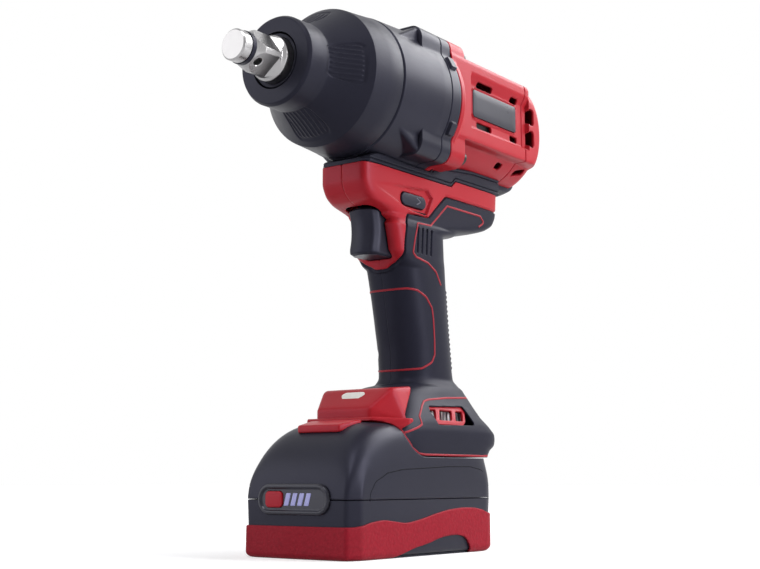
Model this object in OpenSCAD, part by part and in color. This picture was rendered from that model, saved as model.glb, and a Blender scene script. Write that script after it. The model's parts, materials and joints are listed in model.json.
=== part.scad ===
// Cordless impact wrench with a square drive, a pistol grip and a slide-on battery.
// The drive points along -Y, +Z is up and the battery stands on z = 0.

/* [Drive] */
// Across the flats of the square drive
drive_af = 19.05; // [18:0.05:20]
// Across the rounded corners of the square
drive_corner_d = 24; // [23:0.1:25]
// Reach of the drive in front of the nose
drive_reach = 34.3; // [31:0.1:40]
// Length of the round pilot in front of the ring groove
pilot_len = 6.5; // [5:0.5:8]
// Diameter of the round pilot
pilot_d = 18.2; // [16:0.1:18.8]
// Width of the groove that holds the socket ring
groove_w = 3; // [2:0.1:4]
// Depth of the groove below the pilot
groove_depth = 2; // [1:0.1:3]
// Diameter of the cross hole through the square
cross_hole_d = 5.2; // [3:0.1:6]
// Distance from the tip of the drive back to the cross hole
cross_hole_back = 14.5; // [14:0.1:20]
// Rest angle of the square about the drive axis
drive_turn = -8; // [-45:1:45]
// Diameter of the shank that runs in the nose bush
shank_d = 27; // [25.5:0.1:28]

/* [Head] */
// Height of the drive axis above the base
axis_z = 280; // [265:1:300]
// Where the hammer case ends and the gear case begins
flange_y = 19; // [14:0.5:24]
// Length of the rubber nose boot
boot_len = 65.4; // [62:0.1:70]
// Diameter of the flat nose face
nose_d = 48.6; // [46:0.1:51]
// Diameter of the neck behind the nose face
neck_d = 53; // [51.5:0.1:56]
// Length of the neck
neck_len = 17; // [14:0.5:20]
// Length of the flare between neck and shoulder
flare_len = 24; // [20:0.5:26]
// Step from the case's flange in to the boot's seam
boot_step = 1.8; // [1:0.1:2.4]
// Wall of the boot
boot_t = 2.6; // [2:0.1:3]
// Length of the bare hammer case
case_len = 48; // [44:0.5:52]
// Diameter of the hammer case at its flange
case_d = 92; // [91:0.1:96]
// Thickness of the gear case plate
plate_t = 10.5; // [10:0.1:13]
// Step from the case's flange in to the motor housing
motor_step = 0.8; // [0.3:0.1:2]
// Length of the motor housing
motor_len = 89.5; // [87:0.5:95]
// Length of the rear cover
cover_len = 25.5; // [25:0.5:30]
// Width across the flat sides of the motor housing
flat_w = 77; // [75.5:0.1:80]
// Diameter of the round can under the motor
can_d = 74.4; // [73:0.1:78]
// Distance from the axis down to the ledge over the belly
ledge_drop = 22.5; // [20:0.5:24]
// Height of the square shoulders above the axis
shoulder_rise = 32; // [30:0.5:33]
// How far the shoulders reach over the rear cover
shoulder_reach = 7; // [6:0.5:9]
// Rounding of the rear cover
cover_round = 21; // [18:0.5:23]
// Outer half width of a screw lug
lug_x = 37.5; // [36.5:0.1:39]
// Outer half height of a screw lug
lug_z = 41; // [40:0.1:42]
// Size of a screw lug
lug_size = 18; // [16:0.5:19]
// Length of the motor housing's lugs
lug_len = 17; // [14:0.5:20]
// Shank diameter of the case screws
case_screw_d = 5; // [4:0.1:5.5]

/* [Hammer] */
// Room from the boot's seam in to the hammer
hammer_room = 8.7; // [8.4:0.1:9.8]
// Length of the hammer body
hammer_len = 31; // [29:0.5:32]
// Length of the hammer's two lugs
hammer_lug = 9.2; // [8:0.1:9.4]
// Thickness of the anvil's ears
ear_t = 10; // [9.6:0.1:11]
// Travel of the hammer against its spring
hammer_travel = 9.6; // [9.5:0.1:10.5]
// Diameter of the spindle in the hammer
spindle_d = 28.8; // [27:0.1:30]
// Wire diameter of the hammer spring
spring_wire = 4.6; // [4:0.1:5]
// Turns of the hammer spring
spring_turns = 4; // [3:0.5:4]

/* [Gears] */
// Module of the gear teeth
gear_m = 1; // [0.94:0.02:1.02]
// Face width of the gears
gear_w = 9.6; // [8:0.1:10.5]
// Thickness of each carrier disc
disc_t = 3.6; // [3:0.1:4]
// Diameter of the planet pins
pin_d = 6; // [5:0.1:8]
// Wall of the ring gear outside its teeth
ring_wall = 7; // [5:0.1:7.5]

/* [Motor] */
// Diameter of the motor shaft at the front bearing
shaft_d = 9; // [8:0.1:9.2]
// Diameter of the motor shaft at the rear bearing
tail_d = 8; // [6:0.1:9]
// Diameter of the rotor
rotor_d = 31; // [28:0.1:33]
// Air gap between rotor and stator
air_gap = 0.6; // [0.4:0.1:1]
// Room from the badge recess in to the stator
stator_room = 1.9; // [1.5:0.1:3]
// Length of the stator
stator_len = 38; // [34:0.5:40]
// Diameter of the cooling fan
fan_d = 58; // [54:0.5:62]

/* [Handle] */
// Width of the handle's top
top_w = 37; // [36:0.5:39]
// Front of the handle's top
top_front_y = -32.8; // [-38:0.2:-32]
// Distance from the rear cover's seam to the rear end of the handle's top
tail_gap = 2; // [1:0.5:6]
// Thickness of the saddle under the case
saddle_t = 2.8; // [2.2:0.1:6]
// Height of the handle's top
top_h = 27.2; // [25:0.1:30]
// Width of the grip
grip_w = 39; // [37:0.5:42]
// Depth of the grip from front to back
grip_d = 56; // [54:0.2:60]
// Lean of the grip from upright
grip_lean = 8.6; // [7:0.2:10]
// Reach of the finger guard in front of the grip
guard_reach = 11; // [8:0.5:14]
// Thickness of the soft grip skin
skin_t = 1.6; // [1.2:0.1:2]
// Wall of the handle halves
handle_wall = 2.6; // [2:0.1:3]
// Width of the trigger
trigger_w = 21; // [18:0.5:22]
// Travel of the trigger
trigger_travel = 8; // [6:0.5:9]
// Length of the direction button along the handle
button_l = 26; // [22:0.5:28]
// Height of the direction button
button_h = 8.2; // [6:0.2:9]
// Travel of the direction button to each side
button_travel = 3.5; // [2.5:0.1:4]
// Shank diameter of the handle screws
handle_screw_d = 3; // [2.5:0.1:3.4]

/* [Battery] */
// Width of the battery
battery_w = 80.6; // [78:0.1:82]
// Front of the battery
battery_front_y = -73.4; // [-76:0.2:-71]
// Rear of the battery
battery_rear_y = 70.5; // [69:0.5:75]
// Height of the seam between the battery's halves
seam_z = 32.6; // [31:0.1:36]
// Height of the deck that slides under the foot
deck_z = 56.5; // [55.5:0.1:59]
// Height of the hump in front of the foot
hump_z = 76.5; // [75:0.1:79]
// Wall of the battery case
battery_wall = 2.6; // [2:0.1:3]
// Thickness of the bumper around the base
bumper_t = 1.6; // [1.2:0.1:2]
// Height of the bumper at the front
bumper_h = 18; // [16:0.5:20]
// Rise of the bumper's wave towards the rear
bumper_rise = 8; // [5:0.5:9]
// Diameter of one cell
cell_d = 18.4; // [18:0.1:18.6]
// Length of one cell
cell_l = 65; // [60:0.5:66]
// Travel of the battery latch
latch_travel = 2.6; // [2:0.1:3]
// Width of the gauge panel
gauge_w = 49; // [45:0.5:53]
// Height of the gauge panel
gauge_h = 15; // [14:0.5:17]
// Travel of the gauge button
gauge_travel = 0.8; // [0.5:0.1:1]

/* [Clearances] */
// Radial gap of a running fit
run_gap = 0.05; // [0.02:0.01:0.09]
// Gap between fixed pieces that seat on each other
fit_gap = 0.1; // [0.05:0.01:0.2]
// Gap around pieces that slide or pass freely
move_gap = 0.5; // [0.35:0.05:0.7]

/* [Hidden] */
$fn = 64;

// Finishes
case_black = [0.15, 0.15, 0.18];
soft_black = [0.17, 0.17, 0.21];
shell_red = [0.72, 0.13, 0.16];
steel = [0.72, 0.72, 0.74];
dark_steel = [0.42, 0.43, 0.45];
bronze = [0.72, 0.5, 0.25];
copper = [0.75, 0.42, 0.22];
board_green = [0.08, 0.3, 0.16];
pale_metal = [0.8, 0.8, 0.82];
lens_clear = [0.9, 0.92, 0.95];
cell_blue = [0.2, 0.35, 0.6];
light_violet = [0.7, 0.7, 0.92];

// Planes along the drive axis, from the tip to the rear
seam_y = flange_y - case_len;
nose_y = seam_y - boot_len;
tip_y = nose_y - drive_reach;
motor_y = flange_y + plate_t;
cover_y = motor_y + motor_len;
rear_y = cover_y + cover_len;
tail_y = cover_y - tail_gap;
case_r = case_d / 2;
boot_r = case_r - boot_step;
motor_r = case_r - motor_step;
can_r = can_d / 2;
can_round = cover_round - 11;
nose_r = nose_d / 2;
neck_r = neck_d / 2;
shank_r = shank_d / 2;
nose_chamfer = 2;
case_front_r = boot_r + 0.3;
case_front_y = seam_y + 1.2;
case_rear_y = flange_y - 8;
neck_end_y = nose_y + neck_len;
shoulder_y = neck_end_y + flare_len;

// Gear train: a sun on the motor shaft, three planets and a fixed ring
sun_teeth = 12;
planet_teeth = 24;
ring_teeth = sun_teeth + 2 * planet_teeth;
pressure = 20;
backlash = 0.14;
tooth_add = 0.8;
tooth_ded = 1.1;
orbit_r = gear_m * (sun_teeth + planet_teeth) / 2;
ring_pitch_r = gear_m * ring_teeth / 2;
ring_r = ring_pitch_r + tooth_ded * gear_m + ring_wall;
planet_tip_r = gear_m * (planet_teeth / 2 + tooth_add);
sun_tip_r = gear_m * (sun_teeth / 2 + tooth_add);
sun_root_r = gear_m * (sun_teeth / 2 - tooth_ded);
carrier_r = ring_pitch_r - gear_m * 1.9;
pin_r = pin_d / 2;

// Stack of the carrier, hammer and anvil, from the flange forwards
side_gap = 0.4;
carrier_y1 = flange_y - 0.6;
carrier_y0 = carrier_y1 - 2 * disc_t - gear_w - 2 * side_gap;
planet_y = carrier_y0 + disc_t + side_gap;
hammer_y1 = carrier_y0 - 1 - hammer_travel;
hammer_y0 = hammer_y1 - hammer_len;
ear_y1 = hammer_y0 - move_gap;
ear_y0 = ear_y1 - ear_t;
cavity_y = ear_y0 - move_gap;
hammer_r = boot_r - hammer_room;
cavity_r = hammer_r + 1;
spindle_r = spindle_d / 2;
ear_r = hammer_r - 5;
pilot_hole_r = 7;
journal_r = 15;
bore_r = sun_tip_r + 1;
bush_r = shank_r + 3.5;
bush_y0 = nose_y + 9;
seal_w = 4.5;
ball_r = 3.6;
ball_y = hammer_y0 + 5.5;
spring_pocket_y = hammer_y0 + 10;
spring_pocket_r1 = hammer_r - 5;
spring_pocket_r0 = spindle_r + 3.5;
spindle_bearing_r = 21;
spindle_bearing_w = 7;

// Motor planes
front_bearing_r = 13;
front_bearing_w = 8;
rear_bearing_r = 10;
rear_bearing_w = 6;
front_bearing_y = motor_y + 0.5;
stator_y = motor_y + 24;
recess_depth = 3.2;
stator_r = flat_w / 2 - recess_depth - stator_room;
motor_bore_r = stator_r + fit_gap;
coil_h = 6;
board_y = stator_y + stator_len + coil_h + 1.5;
fan_y = board_y + 4;
fan_w = 9;
rear_bearing_y = cover_y + 4;
shaft_r = shaft_d / 2;
tail_r = tail_d / 2;
rotor_r = rotor_d / 2;
core_shaft_r = shaft_r + 1.5;
magnet_w = 16;
magnet_t = 2.4;

// Lugs and their screws
screw_x = lug_x - 7;
screw_z = lug_z - 8;
screw_r = case_screw_d / 2;
screw_head_r = screw_r + 2;
screw_head_h = 4.5;
screw_tip_y = flange_y - 16;

// Levels of the handle
rail_z = axis_z - case_r - saddle_t;
rail_step = 4.4;
rail_step_y = 58;
under_z = rail_z - top_h;
foot_z = deck_z + move_gap;
collar_z = foot_z + 42.5;
top_r = top_w / 2;
grip_r = grip_w / 2;
grip_half = grip_d / 2;
grip_top_y = 28;
foot_r = battery_w / 2 - 1.6;
inner_t = skin_t + handle_wall;
guard_z = under_z - 30;

// Trigger and direction button
trigger_r = trigger_w / 2;
trigger_top_z = under_z - 0.8;
trigger_low_z = guard_z + 4.4;
trigger_front_y = -11.5;
trigger_back_y = 8;
switch_y = trigger_back_y + trigger_travel + 4;
switch_l = 22;
switch_h = 24;
switch_z = under_z - switch_h - 1;
button_y = 16.8;
button_z = rail_z - 16;
button_end = top_r - 0.4;

// Foot, lamp and rails under the foot
lamp_y = -31;
lamp_top_z = collar_z - 0.8;
lens_x = 4;
lens_r = 5.4;
lens_t = 2.4;
rail_t = 5;
rail_x = 16;
rail_y0 = 9;
rail_y1 = 58;
tower_x = 20;
tower_z = foot_z + rail_t + 1.2;
tower_h = 6.5;
tower_rear_y = 52;
contact_x = [-9, -3, 3, 9];
window_y0 = 12;
window_y1 = 57;
window_z = foot_z + 25;
window_h = 11;

// Battery
battery_r = battery_w / 2;
deck_front_y = -4.5;
hump_rear_y = -26;
cell_pitch = cell_d + 0.5;
cell_low_z = 14.5;
cell_mid_y = 0;
latch_y0 = -53.5;
latch_y1 = -37;
latch_t = 4.6;
gauge_x = -0.5;
gauge_z = seam_z;

// Points of a superellipse at one level: width 2 * b, from y0 to y1, squareness n
function ring_points(z, y0, y1, b, n, count) = [
    for (i = [0 : count - 1])
        let (a = 360 * (i + 0.5) / count, c = cos(a), s = sin(a))
        [b * sign(c) * pow(abs(c), 2 / n),
         (y0 + y1) / 2 + (y1 - y0) / 2 * sign(s) * pow(abs(s), 2 / n), z]
];

// Closed solid through a list of rings that all have the same number of points
module loft(rings) {
    count = len(rings[0]);
    last = len(rings) - 1;
    sides = [
        for (k = [0 : last - 1], i = [0 : count - 1])
            let (a = k * count + i, b = k * count + (i + 1) % count)
            each [[a, a + count, b], [b, a + count, b + count]]
    ];
    ends = [[for (i = [0 : count - 1]) i], [for (i = [count - 1 : -1 : 0]) last * count + i]];
    polyhedron([for (r = rings) each r], concat(sides, ends));
}

// Helical wire about +Z from z = 0 to z = height, with closed round ends
module coil(radius, wire, height, turns) {
    steps = round(turns * 10);
    corners = 6;
    loft([
        for (k = [0 : steps])
            let (a = 360 * turns * k / steps, z = wire / 2 + (height - wire) * k / steps)
            [for (j = [0 : corners - 1])
                let (t = -360 * j / corners, r = radius + wire / 2 * cos(t))
                [r * cos(a), r * sin(a), z + wire / 2 * sin(t)]]
    ]);
}

// Blends lofted and cut shapes into one smooth shell
module shell() {
    resize([0, 0, 0]) children();
}

// Outline in (x, height above the axis) drawn out from y0 to y1
module head_extrude(y0, y1) {
    translate([0, y0, axis_z]) rotate([-90, 0, 0]) linear_extrude(y1 - y0) mirror([0, 1]) children();
}

// Outline in (radius, y) turned about the drive axis
module head_turn() {
    translate([0, 0, axis_z]) rotate([-90, 0, 0]) rotate_extrude() children();
}

// Ring on the drive axis
module head_ring(r1, r0, y0, y1) {
    head_extrude(y0, y1) difference() {
        circle(r1);
        circle(r0);
    }
}

// Outline in (y, z) drawn out from x0 to x1
module side_extrude(x0, x1) {
    translate([x0, 0, 0]) rotate([90, 0, 90]) linear_extrude(x1 - x0) children();
}

// Box from one corner to the other
module box(low, high) {
    translate(low) cube(high - low);
}

// Half of space on the given side of the middle plane
module half_space(side) {
    box([side > 0 ? 0 : -200, -300, -100], [side > 0 ? 200 : 0, 300, 500]);
}

// Half angle of an involute tooth at radius r, in degrees
function inv_deg(a) = tan(a) * 180 / PI - a;
function tooth_half(r, teeth, play) =
    let (rp = gear_m * teeth / 2, rb = rp * cos(pressure), a = r > rb ? acos(rb / r) : 0)
    90 / teeth - play / 2 / rp * 180 / PI / 2 + inv_deg(pressure) - inv_deg(a);

// Involute gear outline with a tooth centred on +X
module gear_outline(teeth, add, ded, play) {
    rp = gear_m * teeth / 2;
    r0 = rp - ded * gear_m;
    r1 = rp + add * gear_m;
    steps = 4;
    polygon([
        for (k = [0 : teeth - 1], side = [-1, 1], i = [0 : steps])
            let (q = side < 0 ? i : steps - i, r = r0 + (r1 - r0) * q / steps,
                 a = 360 * k / teeth + side * tooth_half(r, teeth, play))
            [r * cos(a), r * sin(a)]
    ]);
}

// Radius of the boot's outside at y on the flare between neck and shoulder
function boot_flare(y) = let (t = (y - neck_end_y) / flare_len)
    neck_r + (boot_r - 2.2 - neck_r) * pow(t, 1.2);
flare_steps = 8;
function boot_profile(inset) = concat(
    [[nose_r - inset, nose_y + inset], [neck_r - inset, nose_y + nose_chamfer + inset]],
    [for (k = [0 : flare_steps]) let (y = neck_end_y + flare_len * k / flare_steps)
        [boot_flare(y) - inset, y]],
    [[boot_r - inset, seam_y]]
);

// Section of a screw lug in the upper right quarter
module lug_outline() {
    corner = 3;
    translate([lug_x - lug_size, lug_z - lug_size]) {
        square([lug_size - corner, lug_size]);
        square([lug_size, lug_size - corner]);
        translate([lug_size - corner, lug_size - corner]) circle(corner);
    }
}

module lugs(y0, y1) {
    for (sx = [0, 1], sz = [0, 1])
        head_extrude(y0, y1) mirror([sx, 0]) mirror([0, sz]) lug_outline();
}

module screw_holes(r, y0, y1) {
    for (sx = [-1, 1], sz = [-1, 1])
        head_extrude(y0, y1) translate([sx * screw_x, sz * screw_z]) circle(r);
}

module anvil() {
    groove_y = tip_y + pilot_len;
    square_y = groove_y + groove_w;
    shank_y = nose_y - 6;
    lead = 4;
    color(steel) difference() {
        union() {
            intersection() {
                head_turn() polygon([
                    [0, tip_y], [pilot_d / 2 - 1, tip_y], [pilot_d / 2, tip_y + 1],
                    [pilot_d / 2, groove_y], [pilot_d / 2 - groove_depth, groove_y],
                    [pilot_d / 2 - groove_depth, square_y], [pilot_d / 2 + 0.4, square_y],
                    [drive_corner_d / 2, square_y + lead], [drive_corner_d / 2, shank_y + 2],
                    [0, shank_y + 2]
                ]);
                head_extrude(tip_y - 1, shank_y + 3) rotate(drive_turn + 45)
                    square(drive_af, center = true);
            }
            head_turn() polygon([
                [0, shank_y], [drive_corner_d / 2 - 1.5, shank_y], [shank_r, shank_y + 2.5],
                [shank_r, ear_y1], [0, ear_y1]
            ]);
            head_extrude(ear_y0, ear_y1) intersection() {
                circle(ear_r);
                square([ear_r * 0.62, 2 * ear_r], center = true);
            }
        }
        head_extrude(ear_y1 - 12, ear_y1 + 1) circle(pilot_hole_r);
        translate([0, tip_y + cross_hole_back, axis_z]) rotate([0, 135 - drive_turn, 0])
            cylinder(d = cross_hole_d, h = 2 * drive_af, center = true);
    }
}

module socket_ring() {
    ring_in = pilot_d / 2 - groove_depth + fit_gap;
    ring_out = pilot_d / 2 + 0.45;
    split = 2.4;
    y0 = tip_y + pilot_len + fit_gap;
    color(dark_steel) difference() {
        head_ring(ring_out, ring_in, y0, y0 + groove_w - 2 * fit_gap);
        translate([0, 0, axis_z])
            box([-split / 2, y0 - 1, 0], [split / 2, y0 + groove_w + 1, ring_out + 1]);
    }
}

module nose_seal() {
    color(soft_black) head_turn() polygon([
        [shank_r + 0.3, nose_y + 1], [bush_r - 1.4, nose_y + 0.6], [bush_r - fit_gap, nose_y + boot_t + 1],
        [bush_r - fit_gap, nose_y + boot_t + 1 + seal_w], [shank_r + 0.6, nose_y + boot_t + 1 + seal_w]
    ]);
}

module nose_bush() {
    color(bronze) head_ring(bush_r - fit_gap, shank_r + run_gap, bush_y0, cavity_y);
}

// One ribbed panel of the boot, facing +X: grooves that run along the flare
module rib_panel() {
    grooves = 6;
    pitch = 6.4;
    groove_w = 2.2;
    depth = 1.1;
    y0 = neck_end_y + 3;
    y1 = shoulder_y - 2;
    rise = boot_flare(y1) - boot_flare(y0);
    slope = atan2(rise, y1 - y0);
    for (k = [0 : grooves - 1])
        translate([0, 0, axis_z]) rotate([0, (k - (grooves - 1) / 2) * pitch, 0])
            translate([boot_flare(y0) - depth, y0, -groove_w / 2]) rotate([0, 0, -slope])
                cube([6, (y1 - y0) / cos(slope), groove_w]);
}

module nose_boot() {
    color(soft_black) difference() {
        head_turn() polygon(concat(
            [[bush_r + fit_gap, nose_y]], boot_profile(0),
            [[boot_r - boot_t, seam_y]],
            [for (k = [flare_steps : -1 : 0]) let (y = neck_end_y + flare_len * k / flare_steps)
                [boot_flare(y) - boot_t, y]],
            [[neck_r - boot_t, nose_y + nose_chamfer + boot_t], [bush_r + fit_gap, nose_y + boot_t]]
        ));
        for (k = [0 : 3])
            translate([0, 0, axis_z]) rotate([0, 90 * k, 0]) translate([0, 0, -axis_z]) rib_panel();
    }
}

module hammer_case() {
    skin = boot_t + fit_gap;
    ramp = 18;
    seat_y = planet_y - 1.5;
    color(case_black) difference() {
        union() {
            head_turn() polygon(concat(
                [[0, nose_y + skin]], [[neck_r - skin, nose_y + nose_chamfer + skin]],
                [for (k = [0 : flare_steps]) let (y = neck_end_y + flare_len * k / flare_steps)
                    [boot_flare(y) - skin, y]],
                [[boot_r - skin, seam_y + fit_gap], [boot_r - 0.2, seam_y + fit_gap],
                 [case_front_r, case_front_y], [case_r, case_rear_y], [case_r, flange_y], [0, flange_y]]
            ));
            lugs(flange_y - 21, flange_y);
            for (sx = [0, 1], sz = [0, 1]) translate([0, 0, axis_z])
                mirror([sx, 0, 0]) mirror([0, 0, sz]) intersection() {
                    side_extrude(lug_x - lug_size, lug_x) polygon([
                        [flange_y - 21 - ramp, lug_z - lug_size], [flange_y - 21, lug_z - lug_size],
                        [flange_y - 21, lug_z], [flange_y - 21 - 4, lug_z]
                    ]);
                    translate([0, 0, -axis_z]) head_extrude(flange_y - 60, flange_y) circle(case_r + 2);
                }
        }
        head_extrude(nose_y, cavity_y + 1) circle(bush_r);
        head_extrude(cavity_y, seat_y + 1) circle(cavity_r);
        head_extrude(seat_y, flange_y + 1) circle(ring_r + fit_gap);
        screw_holes(screw_r + fit_gap, screw_tip_y - 1, flange_y + 1);
    }
}

module gear_case() {
    seat_y1 = flange_y + 0.5 + spindle_bearing_w + fit_gap;
    clip = [5, 7, 9];
    color(case_black) difference() {
        union() {
            head_extrude(flange_y + fit_gap, motor_y - fit_gap) circle(case_r);
            lugs(flange_y + fit_gap, motor_y - fit_gap);
            for (sx = [-1, 1], a = [-27, 27])
                translate([0, (flange_y + motor_y) / 2, axis_z]) rotate([0, sx > 0 ? a : 180 + a, 0])
                    translate([case_r - 1.5, 0, 0]) cube(clip, center = true);
        }
        head_extrude(flange_y, seat_y1) circle(spindle_bearing_r + fit_gap);
        head_extrude(flange_y, motor_y) circle(spindle_bearing_r - 4);
        screw_holes(screw_r + fit_gap, flange_y, motor_y);
    }
}

module case_screws() {
    y1 = motor_y + lug_len;
    color(dark_steel) difference() {
        union() {
            screw_holes(screw_r, screw_tip_y, y1 + 1);
            screw_holes(screw_head_r, y1 + fit_gap, y1 + screw_head_h);
        }
        for (sx = [-1, 1], sz = [-1, 1])
            head_extrude(y1 + 1.5, y1 + screw_head_h + 1) translate([sx * screw_x, sz * screw_z])
                circle(screw_head_r * 0.55, $fn = 6);
    }
}

module hammer() {
    lug_w = ear_r * 0.7;
    groove_r = ball_r + move_gap;
    color(dark_steel) difference() {
        union() {
            head_extrude(hammer_y0, hammer_y1) circle(hammer_r);
            head_extrude(hammer_y0 - hammer_lug, hammer_y0 + 1) difference() {
                intersection() {
                    circle(hammer_r);
                    square([2 * hammer_r, lug_w], center = true);
                }
                circle(shank_r + 3);
            }
        }
        head_extrude(hammer_y0 - hammer_lug - 1, hammer_y1 + 1) circle(spindle_r + run_gap);
        head_extrude(spring_pocket_y, hammer_y1 + 1) difference() {
            circle(spring_pocket_r1);
            circle(spring_pocket_r0);
        }
        for (sx = [-1, 1]) {
            translate([sx * spindle_r, ball_y, axis_z]) sphere(groove_r);
            head_extrude(hammer_y0 - hammer_lug - 1, ball_y)
                translate([sx * spindle_r, 0]) circle(groove_r);
        }
    }
}

module hammer_spring() {
    end_gap = 0.3;
    color(steel) translate([0, spring_pocket_y + end_gap, axis_z]) rotate([-90, 0, 0])
        coil((spring_pocket_r1 + spring_pocket_r0) / 2, spring_wire,
            carrier_y0 - spring_pocket_y - 2 * end_gap, spring_turns);
}

module cam_balls() {
    color(steel) for (sx = [-1, 1]) translate([sx * spindle_r, ball_y, axis_z]) sphere(ball_r);
}

module spindle() {
    color(steel) difference() {
        union() {
            head_extrude(ear_y1 - 10, hammer_y0) circle(pilot_hole_r - run_gap);
            head_extrude(hammer_y0 - 0.2, carrier_y0 + 1) circle(spindle_r);
            head_extrude(carrier_y0, carrier_y1) circle(carrier_r);
            head_extrude(carrier_y1 - 1, flange_y + 0.4 + spindle_bearing_w) circle(journal_r);
        }
        for (k = [0 : 2]) head_extrude(carrier_y0 + disc_t, carrier_y1 - disc_t)
            rotate(90 + 120 * k) translate([orbit_r, 0]) circle(planet_tip_r + 0.6);
        for (k = [0 : 2]) head_extrude(carrier_y0 + 1, carrier_y1 + 1)
            rotate(90 + 120 * k) translate([orbit_r, 0]) circle(pin_r + run_gap);
        head_extrude(planet_y - 2, flange_y + 20) circle(bore_r);
        for (sx = [-1, 1]) translate([sx * spindle_r, ball_y, axis_z]) sphere(ball_r + fit_gap);
    }
}

// One planet; the gap that faces the sun meets a sun tooth
module planet_gear(k) {
    color(steel) head_extrude(planet_y, planet_y + gear_w) rotate(90 + 120 * k)
        translate([orbit_r, 0]) difference() {
            rotate(180 / planet_teeth) gear_outline(planet_teeth, tooth_add, tooth_ded, backlash);
            circle(pin_r + run_gap);
        }
}

module planet_gear_1() { planet_gear(0); }

module planet_gear_2() { planet_gear(1); }

module planet_gear_3() { planet_gear(2); }

module planet_pins() {
    color(dark_steel) for (k = [0 : 2]) head_extrude(carrier_y0 + 1.2, carrier_y1 - 0.2)
        rotate(90 + 120 * k) translate([orbit_r, 0]) circle(pin_r);
}

module ring_gear() {
    color(dark_steel) head_extrude(planet_y - 1, planet_y + gear_w + 1) difference() {
        circle(ring_r);
        rotate(90 + 180 / ring_teeth) gear_outline(ring_teeth, tooth_ded, tooth_add, -backlash);
    }
}

// Ball bearing drawn as one ring with a shield groove on each face
module bearing(r1, r0, y0, w) {
    mid = (r1 + r0) / 2;
    gap = (r1 - r0) / 5;
    color(steel) difference() {
        head_ring(r1, r0, y0, y0 + w);
        head_ring(mid + gap, mid - gap, y0 - 1, y0 + 0.8);
        head_ring(mid + gap, mid - gap, y0 + w - 0.8, y0 + w + 1);
    }
}

module spindle_bearing() {
    bearing(spindle_bearing_r, journal_r + run_gap, flange_y + 0.4, spindle_bearing_w);
}

module front_bearing() {
    bearing(front_bearing_r, shaft_r + run_gap, front_bearing_y, front_bearing_w);
}

module rear_bearing() {
    bearing(rear_bearing_r, tail_r + run_gap, rear_bearing_y, rear_bearing_w);
}

module rotor_shaft() {
    core_y0 = front_bearing_y + front_bearing_w + 0.5;
    core_y1 = rear_bearing_y - 0.5;
    color(steel) union() {
        head_extrude(planet_y - 0.5, planet_y + gear_w + 1) rotate(90)
            gear_outline(sun_teeth, tooth_add, tooth_ded, backlash);
        head_extrude(planet_y + gear_w, motor_y - 2) circle(sun_root_r - 0.2);
        head_extrude(motor_y - 3, core_y0 + 0.5) circle(shaft_r);
        head_extrude(core_y0, core_y1) circle(core_shaft_r);
        head_extrude(core_y1 - 0.5, rear_bearing_y + rear_bearing_w + 1) circle(tail_r);
    }
}

module rotor_core() {
    color(dark_steel) head_extrude(stator_y, stator_y + stator_len) difference() {
        circle(rotor_r);
        circle(core_shaft_r + fit_gap / 2);
        for (k = [0 : 3]) rotate(90 * k) translate([rotor_r - 5, -magnet_w / 2])
            square([magnet_t, magnet_w]);
    }
}

module rotor_magnets() {
    color(pale_metal) for (k = [0 : 3]) head_extrude(stator_y + 1, stator_y + stator_len - 1)
        rotate(90 * k) translate([rotor_r - 5 + fit_gap, -magnet_w / 2 + fit_gap])
            square([magnet_t - 2 * fit_gap, magnet_w - 2 * fit_gap]);
}

module cooling_fan() {
    blades = 11;
    hub_r = core_shaft_r + 5;
    color(case_black) union() {
        head_ring(fan_d / 2, core_shaft_r + fit_gap / 2, fan_y, fan_y + 1.6);
        head_ring(hub_r, core_shaft_r + fit_gap / 2, fan_y, fan_y + fan_w);
        for (k = [0 : blades - 1]) head_extrude(fan_y + 1, fan_y + fan_w) rotate(360 * k / blades)
            translate([hub_r - 1, 0]) rotate(25) square([fan_d / 2 - hub_r - 2, 1.4]);
    }
}

module stator_core() {
    slots = 6;
    bore = rotor_r + air_gap;
    color(dark_steel) head_extrude(stator_y, stator_y + stator_len) difference() {
        circle(stator_r);
        circle(bore);
        for (k = [0 : slots - 1]) rotate(360 * (k + 0.5) / slots) {
            translate([bore - 1, -1.2]) square([4, 2.4]);
            translate([bore + 2, -5]) square([stator_r - bore - 7, 10]);
        }
    }
}

module stator_coils() {
    slots = 6;
    bore = rotor_r + air_gap;
    depth = stator_r - bore - 7;
    color(copper) for (y = [stator_y - coil_h, stator_y + stator_len + fit_gap], k = [0 : slots - 1])
        head_extrude(y, y + coil_h - fit_gap) rotate(360 * k / slots)
            translate([bore + 2, -depth / 2]) square([depth, depth]);
}

module motor_board() {
    color(board_green) head_ring(stator_r - 3, core_shaft_r + 6, board_y, board_y + 1.6);
}

// Section of the motor housing's armour: round top, flat sides, open below the ledge
module armour_outline() {
    intersection() {
        circle(motor_r);
        translate([-flat_w / 2, -ledge_drop]) square([flat_w, motor_r + ledge_drop]);
    }
}

// Square shoulders that carry the flat sides up over the recess
module shoulder_outline() {
    corner = 4;
    reach = flat_w / 2 - corner;
    translate([-flat_w / 2, 0]) square([flat_w, shoulder_rise - corner]);
    translate([-reach, 0]) square([2 * reach, shoulder_rise]);
    for (sx = [-1, 1]) translate([sx * reach, shoulder_rise - corner]) circle(corner);
}

// Vent slots above and below the badge, and one low on the can, on both sides
module side_slots() {
    for (sx = [-1, 1], z = [18, -8.8]) {
        translate([sx * flat_w / 2, motor_y + 42, axis_z + z]) cube([18, 19, 4], center = true);
        translate([sx * flat_w / 2, cover_y - 11, axis_z + z]) cube([18, 9.4, 4], center = true);
    }
    for (sx = [-1, 1])
        translate([sx * 24, cover_y - 16.5, axis_z - 27]) cube([20, 7, 4.4], center = true);
}

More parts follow.
